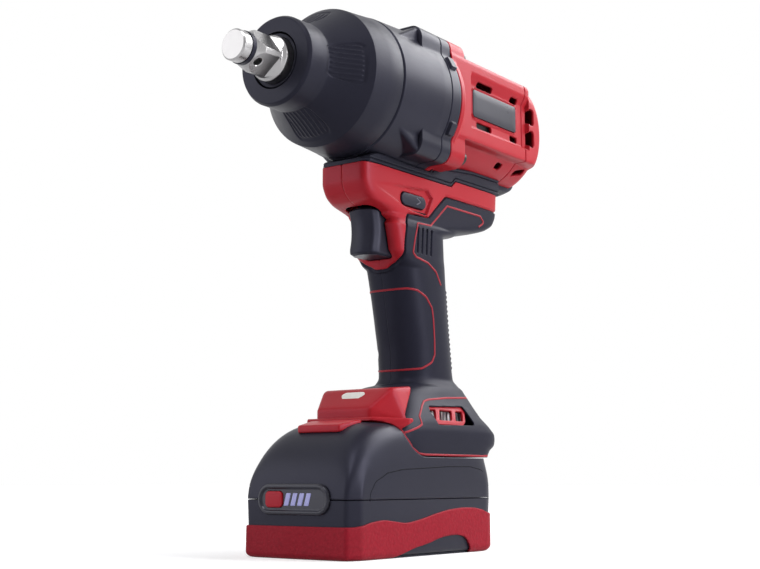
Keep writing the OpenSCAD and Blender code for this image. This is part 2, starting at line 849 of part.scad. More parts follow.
// Sunk field around the badge, with a slanted upper wall, open to the rear
module side_recess() {
    end_y = cover_y + shoulder_reach - 1.5;
    floor_x = flat_w / 2 - recess_depth;
    for (sx = [0, 1]) mirror([sx, 0, 0]) head_extrude(motor_y + 22, end_y) polygon([
        [flat_w / 2 + 1, 25.5], [floor_x, 17.4], [floor_x, -11.5], [flat_w / 2 + 1, -12.5]
    ]);
}

module motor_housing() {
    wall_y = front_bearing_y + front_bearing_w + 2;
    collar = 4;
    color(shell_red) difference() {
        union() {
            head_turn() polygon([
                [0, motor_y], [case_r, motor_y], [case_r, motor_y + collar], [can_r, motor_y + 4 * collar],
                [can_r, cover_y - fit_gap], [0, cover_y - fit_gap]
            ]);
            head_extrude(motor_y, cover_y - fit_gap) {
                armour_outline();
                shoulder_outline();
            }
            lugs(motor_y, motor_y + lug_len);
        }
        head_extrude(motor_y - 1, wall_y - 2 + fit_gap) circle(front_bearing_r + fit_gap);
        head_extrude(motor_y, wall_y + 1) circle(front_bearing_r - 3);
        head_extrude(wall_y, cover_y + 1) circle(motor_bore_r);
        screw_holes(screw_r + fit_gap, motor_y - 1, motor_y + lug_len + 1);
        screw_holes(screw_head_r + move_gap, motor_y + lug_len, motor_y + lug_len + screw_head_h + 2);
        side_slots();
        side_recess();
    }
}

// Closed end of radius r with a rounded rim, between the cover's seam and its rear
module dome(r, rim) {
    intersection() {
        union() {
            translate([0, cover_y]) square([r, cover_len - rim]);
            translate([0, cover_y]) square([r - rim, cover_len]);
            translate([r - rim, rear_y - rim]) circle(rim);
        }
        translate([0, cover_y]) square([r, cover_len]);
    }
}

module rear_cover() {
    boss_r = rear_bearing_r + 4;
    color(shell_red) difference() {
        union() {
            intersection() {
                head_extrude(cover_y, rear_y) armour_outline();
                head_turn() dome(motor_r, cover_round);
            }
            head_turn() dome(can_r, can_round);
            head_extrude(cover_y, cover_y + shoulder_reach) shoulder_outline();
        }
        side_recess();
        head_turn() polygon([
            [0, cover_y - 1], [motor_bore_r, cover_y - 1], [motor_bore_r, cover_y + 4],
            [motor_bore_r - 7, rear_y - 9], [boss_r, rear_y - 6], [boss_r, rear_bearing_y - 1],
            [0, rear_bearing_y - 1]
        ]);
        head_extrude(cover_y, rear_bearing_y + rear_bearing_w + fit_gap) circle(rear_bearing_r + fit_gap);
        head_extrude(cover_y, rear_bearing_y + rear_bearing_w + 3) circle(tail_r + 1);
        for (sx = [-1, 1], z = [-5, 10.5])
            translate([sx * (flat_w / 2 - 4.5), cover_y + cover_len * 0.32, axis_z + z])
                cube([18, 7, 12], center = true);
        for (sx = [-1, 1]) translate([sx * 24, cover_y + cover_len * 0.4, axis_z - 25])
            cube([20, 9, 4.4], center = true);
    }
}

module rear_bumper() {
    strip_w = 28;
    strip_t = 3.4;
    start_y = tail_y + move_gap;
    color(soft_black) intersection() {
        head_turn() difference() {
            union() {
                dome(can_r + strip_t, can_round + strip_t);
                translate([0, start_y]) square([can_r + strip_t, cover_y - start_y + 1]);
            }
            dome(can_r + fit_gap, can_round);
            translate([0, start_y - 1]) square([can_r + fit_gap, cover_y - start_y + 2]);
        }
        box([-strip_w / 2, start_y - 2, axis_z - can_r - 10], [strip_w / 2, rear_y - 3, axis_z - 15]);
    }
}

module side_badges() {
    badge_t = 1;
    inner_x = flat_w / 2 - recess_depth + fit_gap;
    color(case_black) for (sx = [0, 1]) mirror([sx, 0, 0])
        box([inner_x, motor_y + 28, axis_z - 4], [inner_x + badge_t, cover_y - 9, axis_z + 14]);
}

module head_saddle() {
    z0 = rail_z + fit_gap;
    front_y = top_front_y + 0.4;
    corner = 4;
    gap = fit_gap + 0.05;
    color(soft_black) difference() {
        intersection() {
            side_extrude(-top_r, top_r) polygon([
                [front_y, z0], [rail_step_y, z0], [rail_step_y + 5, z0 + rail_step],
                [tail_y, z0 + rail_step], [tail_y, z0 + 19.5], [rail_step_y + 4, z0 + 13.6],
                [rail_step_y - 3, z0 + 13],
                [front_y + 9.6, z0 + 6.6], [front_y, z0 + 2.4]
            ]);
            translate([0, 0, z0 - 1]) linear_extrude(40) polygon([
                [-top_r + 0.3, tail_y], [-top_r + 0.3, front_y + corner], [-top_r + corner, front_y],
                [top_r - corner, front_y], [top_r - 0.3, front_y + corner], [top_r - 0.3, tail_y]
            ]);
        }
        head_turn() polygon([
            [0, top_front_y - 10], [boot_r + gap, top_front_y - 10], [boot_r + gap, seam_y],
            [case_front_r + gap, case_front_y], [case_r + gap, case_rear_y], [case_r + gap, motor_y + 4.2],
            [can_r + gap, motor_y + 16.2], [can_r + gap, rear_y], [0, rear_y]
        ]);
    }
}

// Middle of the grip at height z
function grip_y(z) = grip_top_y + (under_z - z) * tan(grip_lean);

// Levels of the handle from the foot to the top: height, front, rear, half width,
// squareness, and which way the level moves when the surface is inset
waist_z = collar_z + 7;
grip_stations = [
    [foot_z - 8, -6, 74, foot_r, 9, 0],
    [foot_z - 1, -6, 74, foot_r, 9, 0],
    [foot_z + 4, -8, 77, foot_r, 8, 0],
    [foot_z + 8, -10, 83, foot_r, 7, 0],
    [foot_z + 14, -10, 85, foot_r - 0.2, 6, 0],
    [foot_z + 19, -9, 82, foot_r - 1.6, 5, -0.5],
    [foot_z + 26, -6, 76, foot_r - 5, 4.5, -1],
    [collar_z - 6.5, -1, 74, grip_r + 7.5, 4, -1],
    [collar_z - 2.5, 2, 74, grip_r + 5.5, 3.6, -1],
    [collar_z, 6, 74, grip_r + 4, 3.2, -1],
    [collar_z + 2.5, grip_y(collar_z) - grip_half - 1, grip_y(collar_z) + grip_half + 1, grip_r + 2,
     2.6, -0.4],
    [waist_z, grip_y(waist_z) - grip_half + 1, grip_y(waist_z) + grip_half - 1, grip_r, 2.4, 0],
    each [for (k = [1 : 6]) let (t = k / 6, z = waist_z + (under_z - 7 - waist_z) * t)
        [z, grip_y(z) - grip_half + 3 * (1 - t) - 2 * pow(t, 4), grip_y(z) + grip_half - 2 * (1 - t),
         grip_r, 2.4 + pow(t, 3), 0]],
    [under_z - 3.5, grip_y(under_z) - grip_half - 3, tail_y - 46, grip_r - 0.3, 3.2, 0.4],
    [under_z - 1, grip_y(under_z) - grip_half - 8, tail_y - 40, top_r, 3.6, 0.8],
    [under_z + 0.8, top_front_y + 16, tail_y - 31, top_r, 5, 1],
    [under_z + 2.8, top_front_y + 11, tail_y - 23, top_r, 7, 1],
    [under_z + 6, top_front_y + 6.5, tail_y - 13, top_r, 9, 1],
    [under_z + 11, top_front_y + 2.4, tail_y - 5, top_r, 11, 1],
    [under_z + 18, top_front_y, tail_y - 1.6, top_r, 12, 1],
    [rail_z + rail_step + 4, top_front_y, tail_y, top_r, 12, 1]
];
handle_points = 40;

// The whole handle as one smooth solid with its finger guard, inset from the outer surface
module handle_solid(inset) {
    loft([for (s = grip_stations)
        ring_points(s[0] + s[5] * inset, s[1] + inset, s[2] - inset, s[3] - inset, s[4], handle_points)]);
    guard_r = 7;
    guard_tip_y = grip_y(guard_z) - grip_half - guard_reach;
    hull() {
        translate([0, guard_tip_y + guard_r, guard_z - guard_r + inset])
            cylinder(r = guard_r - inset, h = guard_r + 0.2 - 2 * inset, $fn = 32);
        translate([0, grip_y(guard_z) - grip_half + 2 * guard_r, guard_z - 13 + inset])
            cylinder(r = 15 - inset, h = 15 - 2 * inset, $fn = 32);
    }
}

// Side view of the soft grip's area on the handle
module grip_area() {
    side_extrude(-60, 60) polygon([
        [-40, guard_z - 9], [-14, guard_z - 3], [0, guard_z + 3], [6, guard_z + 9], [9.5, under_z + 1.7],
        [33, under_z + 2.3], [52, rail_z - 7], [tail_y + 10, rail_z - 7], [tail_y + 10, foot_z - 20],
        [-7, foot_z - 20], [-1, foot_z + 18], [1, collar_z - 8], [6, collar_z + 1], [-40, collar_z + 1]
    ]);
}

// Lamp nose and skirt over the battery's hump
module lamp_shell() {
    hull() {
        box([-19.5, lamp_y, hump_z], [19.5, lamp_y + 2, hump_z + 8]);
        box([-26, lamp_y + 14, hump_z - 6], [26, lamp_y + 20, lamp_top_z - 2]);
        box([-27, 4, foot_z], [27, 14, lamp_top_z]);
    }
    hull() {
        box([-24, lamp_y - 4, hump_z - 4], [24, lamp_y, hump_z + 2.6]);
        box([-foot_r + 1, lamp_y + 16, hump_z - 12], [foot_r - 1, 8, hump_z + 2]);
    }
}

// Rear face and top of the battery's hump, with room, carried forwards
module hump_room(gap) {
    side_extrude(-60, 60) polygon([
        [-90, hump_z + gap], [hump_rear_y - 10, hump_z + gap], [hump_rear_y, hump_z - 1.5 + gap],
        [deck_front_y - 13 + gap, deck_z + 13.5 + gap], [deck_front_y - 7 + gap, deck_z + 5.5 + gap],
        [deck_front_y + gap, deck_z + gap], [deck_front_y + gap, deck_z - 20], [-90, deck_z - 20]
    ]);
}

// Places of the handle screws in (y, z)
handle_screw_at = [
    [top_front_y + 11, rail_z - 10.4], [tail_y - 15, rail_z - 12.6],
    [grip_y(guard_z + 6) + 17, guard_z + 6],
    [grip_y(collar_z + 22) - 17, collar_z + 22], [66, foot_z + 20], [4, foot_z + 33]
];

// Wells from the left side down to the heads of the handle screws
handle_head_r = handle_screw_d / 2 + 1.5;
handle_head_x = -10;
module screw_head_wells() {
    for (p = handle_screw_at) translate([handle_head_x, p[0], p[1]]) rotate([0, -90, 0])
        cylinder(r = handle_head_r + 0.2, h = 50, $fn = 24);
}

module handle_half(side) {
    boss_r = handle_screw_d / 2 + 2.4;
    shell() difference() {
        intersection() {
            union() {
                difference() {
                    intersection() {
                        union() {
                            handle_solid(skin_t);
                            difference() {
                                handle_solid(0);
                                grip_area();
                            }
                        }
                        box([-60, -100, foot_z], [60, 150, rail_z + rail_step]);
                    }
                    handle_solid(inner_t);
                }
                difference() {
                    lamp_shell();
                    handle_solid(inner_t);
                }
                for (sx = [0, 1]) mirror([sx, 0, 0])
                    box([rail_x + move_gap, rail_y0, foot_z],
                        [foot_r - skin_t - 0.3, rail_y1, foot_z + rail_t]);
                intersection() {
                    handle_solid(inner_t - 0.5);
                    for (p = handle_screw_at) translate([0, p[0], p[1]]) rotate([0, 90, 0])
                        cylinder(r = boss_r, h = 120, center = true, $fn = 24);
                }
            }
            half_space(side);
        }
        hump_room(move_gap);
        box([-tower_x - 1, -60, foot_z - 10], [tower_x + 1, 14, tower_z + tower_h + 1]);
        side_extrude(-60, 60) polygon([
            [top_front_y - 10, rail_z], [rail_step_y, rail_z], [rail_step_y + 5, rail_z + rail_step],
            [rail_step_y + 5, rail_z + 20], [top_front_y - 10, rail_z + 20]
        ]);
        trigger_slot();
        button_prism(top_r + 2, move_gap);
        for (p = handle_screw_at) translate([0, p[0], p[1]]) rotate([0, 90, 0])
            cylinder(r = handle_screw_d / 2 + 0.2, h = 30, center = true, $fn = 24);
        screw_head_wells();
        lamp_pocket(fit_gap);
        box([-60, window_y0, window_z - window_h / 2], [60, window_y1, window_z + window_h / 2]);
    }
}

module trigger_slot() {
    box([-trigger_r - move_gap, -60, trigger_low_z - 1.2], [trigger_r + move_gap, 16, trigger_top_z + 1.1]);
}

module right_handle() { color(shell_red) handle_half(1); }

module left_handle() { color(shell_red) handle_half(-1); }

module grip_half_skin(side) {
    shell() difference() {
        intersection() {
            difference() {
                handle_solid(0);
                handle_solid(skin_t);
            }
            grip_area();
            box([-60, -100, foot_z], [60, 150, rail_z]);
            half_space(side);
        }
        lamp_shell();
        trigger_slot();
        box([-60, window_y0 - 3, window_z - window_h / 2 - 1],
            [60, window_y1 + 4, window_z + window_h / 2 + 1]);
        screw_head_wells();
    }
}

module right_grip() { color(soft_black) grip_half_skin(1); }

module left_grip() { color(soft_black) grip_half_skin(-1); }

module handle_screws() {
    color(dark_steel) for (p = handle_screw_at) translate([handle_head_x, p[0], p[1]]) rotate([0, 90, 0]) {
        cylinder(d = handle_screw_d, h = 22);
        translate([0, 0, -2.4]) cylinder(r = handle_head_r, h = 2.4);
    }
}

module trigger() {
    front_y = trigger_front_y - 4;
    low = trigger_low_z;
    high = trigger_top_z;
    color(soft_black) difference() {
        intersection() {
            side_extrude(-trigger_r, trigger_r) difference() {
                polygon([
                    [front_y, high], [trigger_back_y, high], [trigger_back_y, low + 3],
                    [trigger_back_y - 5, low + 2], [front_y + 14, low], [front_y + 7, low],
                    [front_y + 3, low + 1.5]
                ]);
                translate([trigger_front_y - 33, (low + high) / 2 + 1]) circle(33);
            }
            union() {
                translate([0, 0, low - 1]) linear_extrude(high - low + 2)
                    translate([-trigger_r, front_y + 8]) square([trigger_w, 60]);
                translate([0, 0, low - 1]) linear_extrude(high - low + 2)
                    translate([-trigger_r + 7, front_y]) square([trigger_w - 14, 20]);
                for (sx = [-1, 1]) translate([sx * (trigger_r - 7), front_y + 8, low - 1])
                    cylinder(r = 7, h = high - low + 2);
            }
        }
        translate([0, trigger_back_y - 6, (low + high) / 2]) rotate([-90, 0, 0]) cylinder(r = 4.6, h = 10);
    }
}

module trigger_spring() {
    y0 = trigger_back_y - 5.6;
    color(steel) translate([0, y0, (trigger_low_z + trigger_top_z) / 2]) rotate([-90, 0, 0])
        coil(3.4, 0.9, switch_y - y0 - 0.4, 6);
}

module trigger_switch() {
    color(case_black) difference() {
        box([-trigger_r + 1, switch_y, switch_z],
            [trigger_r - 1, switch_y + switch_l, switch_z + switch_h]);
        for (z = [6, 12, 18]) translate([0, switch_y + switch_l, switch_z + z])
            cube([12, 3, 2], center = true);
    }
}

// Long rounded prism of the direction button across the handle
module button_prism(half_len, gap) {
    side_extrude(-half_len, half_len) {
        translate([button_y - button_l / 2 - gap, button_z - button_h / 2 - gap])
            translate([button_h / 2 + gap, 0]) square([button_l - button_h, button_h + 2 * gap]);
        for (sy = [-1, 1]) translate([button_y + sy * (button_l - button_h) / 2, button_z])
            circle(button_h / 2 + gap);
    }
}

// Cross button with a click notch on top for each of its three places
module direction_button() {
    color(case_black) difference() {
        button_prism(button_end, 0);
        for (k = [-1 : 1]) translate([k * button_travel, button_y, button_z + button_h / 2])
            cube([1.2, 8, 1.2], center = true);
    }
}

// Slanted place of the lamp lens on the lamp nose
module lamp_place() {
    translate([0, lamp_y + 8.2, hump_z + 14.6]) rotate([47, 0, 0]) children();
}

module lamp_pocket(gap) {
    lamp_place() {
        translate([-lens_x, -lens_r - gap, -9]) cube([2 * lens_x, 2 * (lens_r + gap), 20]);
        for (sx = [-1, 1]) translate([sx * lens_x, 0, -9]) cylinder(r = lens_r + gap, h = 20);
    }
}

module lamp_lens() {
    color(lens_clear) lamp_place() {
        translate([-lens_x, -lens_r, -lens_t]) cube([2 * lens_x, 2 * lens_r, lens_t]);
        for (sx = [-1, 1]) translate([sx * lens_x, 0, -lens_t]) cylinder(r = lens_r, h = lens_t);
    }
}

module lamp_board() {
    color(board_green) lamp_place() {
        translate([-lens_x - 2, -lens_r + 1, -7.6]) cube([2 * lens_x + 4, 2 * lens_r - 2, 1.6]);
        for (sx = [-1, 0, 1]) translate([sx * lens_x - 1.2, -1.5, -6]) cube([2.4, 3, 1]);
    }
}

module vent_grilles() {
    t = 2;
    bays = 3;
    edge = 2.4;
    len_y = window_y1 - window_y0 - 2 * fit_gap;
    low = window_z - window_h / 2 + fit_gap;
    high = window_h - 2 * fit_gap;
    color(shell_red) for (sx = [0, 1]) mirror([sx, 0, 0]) difference() {
        translate([foot_r - 10, window_y0 + fit_gap, low]) cube([t, len_y, high]);
        for (k = [0 : bays - 1]) translate([foot_r - 11, window_y0 + 3 + k * len_y / bays, low + edge])
            cube([t + 4, len_y / bays - 4, high - 2 * edge]);
    }
}

module heat_sink() {
    fins = 12;
    len_y = window_y1 - window_y0 - 6;
    x1 = foot_r - 12;
    color(pale_metal) union() {
        box([-x1 + 6, window_y0 + 3, window_z + 1], [x1 - 6, window_y0 + 3 + len_y, window_z + 4]);
        for (k = [0 : fins - 1]) {
            y = window_y0 + 3 + k * (len_y - 1.2) / (fins - 1);
            box([-x1, y, window_z - 4.5], [x1, y + 1.2, window_z + 4]);
        }
    }
}

module control_board() {
    board_z = collar_z + 10;
    half = grip_r - 8.5;
    tall = (under_z - collar_z) * 0.48;
    color(board_green) translate([0, grip_y(board_z) + 4, board_z]) rotate([grip_lean, 0, 0]) {
        box([-half, 0, 0], [half, 1.6, tall]);
        for (k = [0 : 3]) let (z = tall * (0.12 + 0.22 * k))
            box([-half + 3, 1.5, z], [half - 3, 5, z + tall * 0.14]);
    }
}

module terminal_block() {
    z0 = tower_z + tower_h + 1;
    color(case_black) union() {
        box([-tower_x + 6, rail_y0 + 9, z0], [tower_x - 6, tower_rear_y - 6, window_z - 5]);
        for (x = contact_x) box([x - 0.5, rail_y0 + 11, z0 - 3], [x + 0.5, tower_rear_y - 16, z0 + 1]);
    }
}

// Two leads from the terminal block up the grip to the switch
lead_rise = switch_z - window_z - 9;
lead_route = [[50, 0], [46, 0.07], [41, 0.16], [38, 0.3], [35, 0.52], [32, 0.7], [30, 1]];
module power_leads() {
    sides = 8;
    r = 1.5;
    color([0.5, 0.1, 0.1]) for (x = [-9, 9]) loft([
        for (k = [0 : len(lead_route) - 1]) let (p = lead_route[k])
            [for (j = [0 : sides - 1]) [x + r * cos(360 * j / sides), p[0] + r * sin(360 * j / sides),
                window_z + 6 + lead_rise * p[1]]]
    ]);
}

// Levels of the battery: height, front, rear, half width and squareness
front_arc = [
    for (k = [0 : 7]) let (t = k / 7) [seam_z + (hump_z - seam_z) * sin(90 * t), 1 - cos(90 * t)]
];
top_stations = [
    for (k = [0 : 7]) let (p = front_arc[k])
        [p[0], battery_front_y + 39 * pow(p[1], 0.85), battery_rear_y - 3 * p[1],
         battery_r - 12 * pow(p[1], 1.3), 16 - 13 * pow(p[1], 0.3)]
];
battery_points = 56;

module battery_solid(stations, inset, lift) {
    loft([for (s = stations)
        ring_points(s[0] + lift, s[1] + inset, s[2] - inset, s[3] - inset, s[4], battery_points)]);
}

module tower() {
    box([-rail_x + 0.7, deck_front_y - 10, deck_z - 1], [rail_x - 0.7, tower_rear_y, tower_z + 1]);
    box([-tower_x, deck_front_y - 10, tower_z], [tower_x, tower_rear_y, tower_z + tower_h]);
}

module latch_room(gap) {
    translate([0, 0, hump_z - latch_t - latch_travel - 2]) linear_extrude(30) polygon([
        [-19 - gap, latch_y1 + gap], [19 + gap, latch_y1 + gap],
        [15.5 + gap, latch_y0 - gap], [-15.5 - gap, latch_y0 - gap]
    ]);
}

module battery_top_case() {
    color(soft_black) shell() difference() {
        union() {
            difference() {
                intersection() {
                    battery_solid(top_stations, 0, 0);
                    union() {
                        hump_room(0);
                        box([-60, -100, 0], [60, 100, deck_z]);
                    }
                }
                intersection() {
                    battery_solid(top_stations, battery_wall, -battery_wall);
                    union() {
                        translate([0, -battery_wall, -battery_wall]) hump_room(0);
                        box([-60, -100, 0], [60, 100, deck_z - battery_wall]);
                    }
                }
            }
            intersection() {
                tower();
                box([-60, -100, deck_z - 1], [60, 100, hump_z - 2]);
            }
        }
        latch_room(move_gap);
        box([-7 - move_gap, latch_y0 + 6, 40], [7 + move_gap, latch_y1, hump_z + 5]);
        gauge_prism(fit_gap, -10, 20);
        for (x = contact_x)
            box([x - 1.3, 12, tower_z - 2], [x + 1.3, tower_rear_y + 1, tower_z + tower_h + 1]);
    }
}

// Plan of the battery's base with rounded corners
module base_outline(grow) {
    corner = 9 + grow;
    x = battery_r + grow - corner;
    y0 = battery_front_y - grow + corner;
    y1 = battery_rear_y + grow - corner;
    translate([-x, y0 - corner]) square([2 * x, y1 - y0 + 2 * corner]);
    translate([-x - corner, y0]) square([2 * (x + corner), y1 - y0]);
    for (sx = [-1, 1], y = [y0, y1]) translate([sx * x, y]) circle(corner);
}

module battery_bottom_case() {
    color(soft_black) difference() {
        linear_extrude(seam_z - fit_gap) base_outline(0);
        translate([0, 0, battery_wall]) linear_extrude(seam_z) base_outline(-battery_wall);
        bumper_band(fit_gap, 2 * bumper_t);
        gauge_prism(fit_gap, -10, 20);
        battery_screw_holes(1.7, -1, 12);
        battery_screw_holes(3.6, -1, 1.4);
    }
}

// Top edge of the bumper along the side: a low swell, a dip, then a rise to the rear
function bumper_edge(y) = bumper_h + (y < -16 ? 2.6 * pow(sin(180 * (y + 75) / 59), 2)
    : y < 44 ? bumper_rise * (1 - cos(180 * (y + 16) / 60)) / 2
    : bumper_rise - 5 * pow((y - 44) / 30, 2)) + (y > -16 ? 1 : (y + 75) / 59);

// Band around the base under the wave, open where the side arches are
module bumper_band(gap, proud) {
    arch_y0 = -30;
    arch_y1 = 44;
    arch_h = 10.6;
    difference() {
        intersection() {
            translate([0, 0, -gap]) linear_extrude(bumper_h + bumper_rise + 4) difference() {
                base_outline(proud);
                base_outline(-bumper_t - gap);
            }
            side_extrude(-60, 60) polygon(concat(
                [[battery_rear_y + 10, -1], [battery_front_y - 10, -1],
                 [battery_front_y - 10, bumper_h + gap]],
                [for (k = [0 : 28]) let (y = -75 + 150 * k / 28) [y, bumper_edge(y) + gap]],
                [[battery_rear_y + 10, bumper_edge(75) + gap]]
            ));
        }
        side_extrude(-60, 60) polygon(concat(
            [[arch_y1 - gap, -2], [arch_y0 + gap, -2]],
            [for (k = [0 : 12]) let (t = k / 12) [arch_y0 + gap + 65 * t, arch_h * sin(90 * t) - gap]],
            [[arch_y1 - 3.5 - gap, arch_h - 2.6 - gap]]
        ));
    }
}

module battery_bumper() {
    color(shell_red) bumper_band(0, 0.5);
}

// Rounded outline of the gauge on the battery's front
module gauge_prism(gap, y0, y1) {
    w = gauge_w - gauge_h;
    translate([gauge_x, battery_front_y + y0, gauge_z]) rotate([-90, 0, 0]) linear_extrude(y1 - y0) {
        translate([-w / 2, -gauge_h / 2 - gap]) square([w, gauge_h + 2 * gap]);
        for (sx = [-1, 1]) translate([sx * w / 2, 0]) circle(gauge_h / 2 + gap);
    }
}

gauge_sink = 0.6;
gauge_pitch = gauge_w / 9.2;
gauge_button_x = gauge_x - 2.6 * gauge_pitch;
gauge_button_w = 2.4 * gauge_pitch;
gauge_button_h = 9;

module gauge_panel() {
    color(case_black) difference() {
        gauge_prism(0, gauge_sink, 4.6);
        translate([gauge_button_x, battery_front_y, gauge_z])
            cube([gauge_button_w + 0.8, 20, gauge_button_h + 0.8], center = true);
        for (k = [0 : 3]) gauge_light(k, 0.1);
    }
}

module gauge_light(k, gap) {
    x = gauge_x + (0.9 * k - 1.1) * gauge_pitch;
    box([x - gap, battery_front_y - 1 + gap, gauge_z - 3.2 - gap],
        [x + 0.68 * gauge_pitch + gap, battery_front_y + 2.4 + gap, gauge_z + 3.2 + gap]);
}

module gauge_lights() {
    color(light_violet) intersection() {
        for (k = [0 : 3]) gauge_light(k, 0);
        gauge_prism(0, gauge_sink + 0.1, 4.6);
    }
}

module gauge_button() {
    color(shell_red) box(
        [gauge_button_x - gauge_button_w / 2, battery_front_y + gauge_sink - gauge_travel - 0.1,
         gauge_z - gauge_button_h / 2],
        [gauge_button_x + gauge_button_w / 2, battery_front_y + 3.4, gauge_z + gauge_button_h / 2]);
}

module battery_latch() {
    top_z = hump_z + 1.2;
    color(shell_red) difference() {
        union() {
            intersection() {
                latch_room(0);
                side_extrude(-60, 60) polygon([
                    [latch_y0, top_z - 3 - latch_t], [latch_y1, top_z - latch_t], [latch_y1, top_z],
                    [latch_y1 - 5, top_z], [latch_y0, top_z - 3.4]
                ]);
            }
            box([-7, latch_y0 + 7, top_z - 18], [7, latch_y1 - 1, top_z - 3]);
        }
        translate([0, (latch_y0 + latch_y1) / 2 + 3, top_z - 19]) cylinder(r = 4.2, h = 12);
    }
}

module latch_spring() {
    z0 = cell_low_z + cell_pitch * 1.6 + 3;
    color(steel) translate([0, (latch_y0 + latch_y1) / 2 + 3, z0]) coil(3, 0.8, hump_z - 6.2 - z0, 6);
}

// Places of the ten cells in (y, z)
cell_at = [for (row = [0, 1], k = [-2 : 2]) [cell_mid_y + k * cell_pitch, cell_low_z + row * cell_pitch]];

module battery_cells() {
    color(cell_blue) for (p = cell_at) translate([0, p[0], p[1]]) rotate([0, 90, 0])
        cylinder(d = cell_d, h = cell_l, center = true);
}

module cell_holders() {
    t = 6;
    y = 2.5 * cell_pitch + 1;
    color(case_black) for (sx = [-1, 1]) difference() {
        box([sx * cell_l / 4 - t / 2, cell_mid_y - y, cell_low_z - cell_pitch / 2 - 1],
            [sx * cell_l / 4 + t / 2, cell_mid_y + y, cell_low_z + cell_pitch * 1.5 + 1]);
        for (p = cell_at) translate([0, p[0], p[1]]) rotate([0, 90, 0])
            cylinder(d = cell_d + 2 * fit_gap, h = 200, center = true);
    }
}

module battery_board() {
    z0 = cell_low_z + cell_pitch * 1.5 + 1.4;
    color(board_green) union() {
        box([-battery_r + 16.3, cell_mid_y - 1.5 * cell_pitch, z0],
            [battery_r - 16.3, tower_rear_y - 6, z0 + 1.6]);
        for (x = contact_x)
            box([x - 1, rail_y0 + 7, z0 + 1], [x + 1, tower_rear_y - 8, deck_z - battery_wall - 0.6]);
    }
}

module battery_screw_holes(r, z0, z1) {
    for (sx = [-1, 1], y = [battery_front_y + 9, battery_rear_y - 9])
        translate([sx * (battery_r - 9), y, z0]) cylinder(r = r, h = z1 - z0);
}

module battery_screws() {
    color(dark_steel) union() {
        battery_screw_holes(1.5, 0.6, 10);
        battery_screw_holes(3.2, 0.4, 1.3);
    }
}

anvil();
socket_ring();
nose_seal();
nose_bush();
nose_boot();
hammer_case();
gear_case();
case_screws();
hammer();
hammer_spring();
cam_balls();
spindle();
planet_gear_1();
planet_gear_2();
planet_gear_3();
planet_pins();
ring_gear();
spindle_bearing();
front_bearing();
rear_bearing();
rotor_shaft();
rotor_core();
rotor_magnets();
cooling_fan();
stator_core();
stator_coils();
motor_board();
motor_housing();
rear_cover();
rear_bumper();
side_badges();
head_saddle();
right_handle();
left_handle();
right_grip();
left_grip();
handle_screws();
trigger();
trigger_spring();
trigger_switch();
direction_button();
lamp_lens();
lamp_board();
vent_grilles();
heat_sink();
control_board();
terminal_block();
power_leads();
battery_top_case();
battery_bottom_case();
battery_bumper();
battery_latch();
latch_spring();
gauge_panel();
gauge_button();
gauge_lights();
battery_cells();
cell_holders();
battery_board();
battery_screws();
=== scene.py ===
"""Looks of a cordless impact wrench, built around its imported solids.

The drive points along -Y, +Z is up and the battery stands on z = 0. Shapes are worked out in
millimetres and put into the meshes in metres.
"""

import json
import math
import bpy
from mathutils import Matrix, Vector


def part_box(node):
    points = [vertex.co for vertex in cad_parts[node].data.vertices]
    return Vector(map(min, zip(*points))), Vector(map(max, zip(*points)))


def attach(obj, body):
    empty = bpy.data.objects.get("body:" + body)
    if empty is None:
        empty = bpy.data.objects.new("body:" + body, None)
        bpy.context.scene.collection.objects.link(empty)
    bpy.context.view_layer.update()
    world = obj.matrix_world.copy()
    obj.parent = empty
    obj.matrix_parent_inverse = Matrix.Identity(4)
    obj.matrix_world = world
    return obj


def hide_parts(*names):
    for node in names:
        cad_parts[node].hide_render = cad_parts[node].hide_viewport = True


bl_info = {
    "name": "Impact Wrench",
    "version": (1, 0, 0),
    "blender": (4, 5, 0),
    "location": "View3D > Sidebar > Wrench",
    "description": "Builds the shells, grips, battery and finishes of a cordless impact wrench",
    "category": "Object",
}

import bmesh
import bpy
import numpy as np

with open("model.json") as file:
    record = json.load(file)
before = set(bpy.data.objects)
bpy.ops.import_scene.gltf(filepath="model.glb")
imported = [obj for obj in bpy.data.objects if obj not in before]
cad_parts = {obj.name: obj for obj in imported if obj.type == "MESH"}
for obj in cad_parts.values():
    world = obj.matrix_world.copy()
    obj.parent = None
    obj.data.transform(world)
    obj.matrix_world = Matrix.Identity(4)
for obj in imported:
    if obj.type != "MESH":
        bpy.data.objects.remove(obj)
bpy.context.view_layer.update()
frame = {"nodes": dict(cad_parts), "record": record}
MM = 0.001


def node_box(node):
    """Lowest and highest corner of a solid, in millimetres."""
    low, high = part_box(node)
    return np.array(low) / MM, np.array(high) / MM


def node_middle(node):
    """Middle and half size of a solid's box, in millimetres."""
    low, high = node_box(node)
    return (low + high) / 2, (high - low) / 2


# Planes and radii that the solids give
DRIVE = next(m for m in frame["record"]["mounts"] if m["name"] == "drive")
AXIS_Z = DRIVE["pos_m"][2] / MM
TIP_Y = DRIVE["pos_m"][1] / MM
NOSE_Y, SEAM_Y = node_box("nose_boot")[0][1], node_box("nose_boot")[1][1]
BOOT_R = node_box("nose_boot")[1][0]
CASE_R = node_box("hammer_case")[1][0]
FLANGE_Y = node_box("hammer_case")[1][1]
MOTOR_Y = node_box("motor_housing")[0][1]
COVER_Y = node_box("rear_cover")[0][1]
REAR_Y = node_box("rear_cover")[1][1]
RAIL_Z = node_box("head_saddle")[0][2]
TOP_FRONT_Y = node_box("head_saddle")[0][1] - 0.4
TAIL_Y = node_box("head_saddle")[1][1]
FOOT_Z = node_box("right_handle")[0][2]
FOOT_R = node_box("right_handle")[1][0]
BATTERY_FRONT_Y = node_box("battery_bottom_case")[0][1]
BATTERY_REAR_Y = node_box("battery_bottom_case")[1][1]
BATTERY_R = node_box("battery_bottom_case")[1][0]
SEAM_Z = node_box("battery_bottom_case")[1][2]
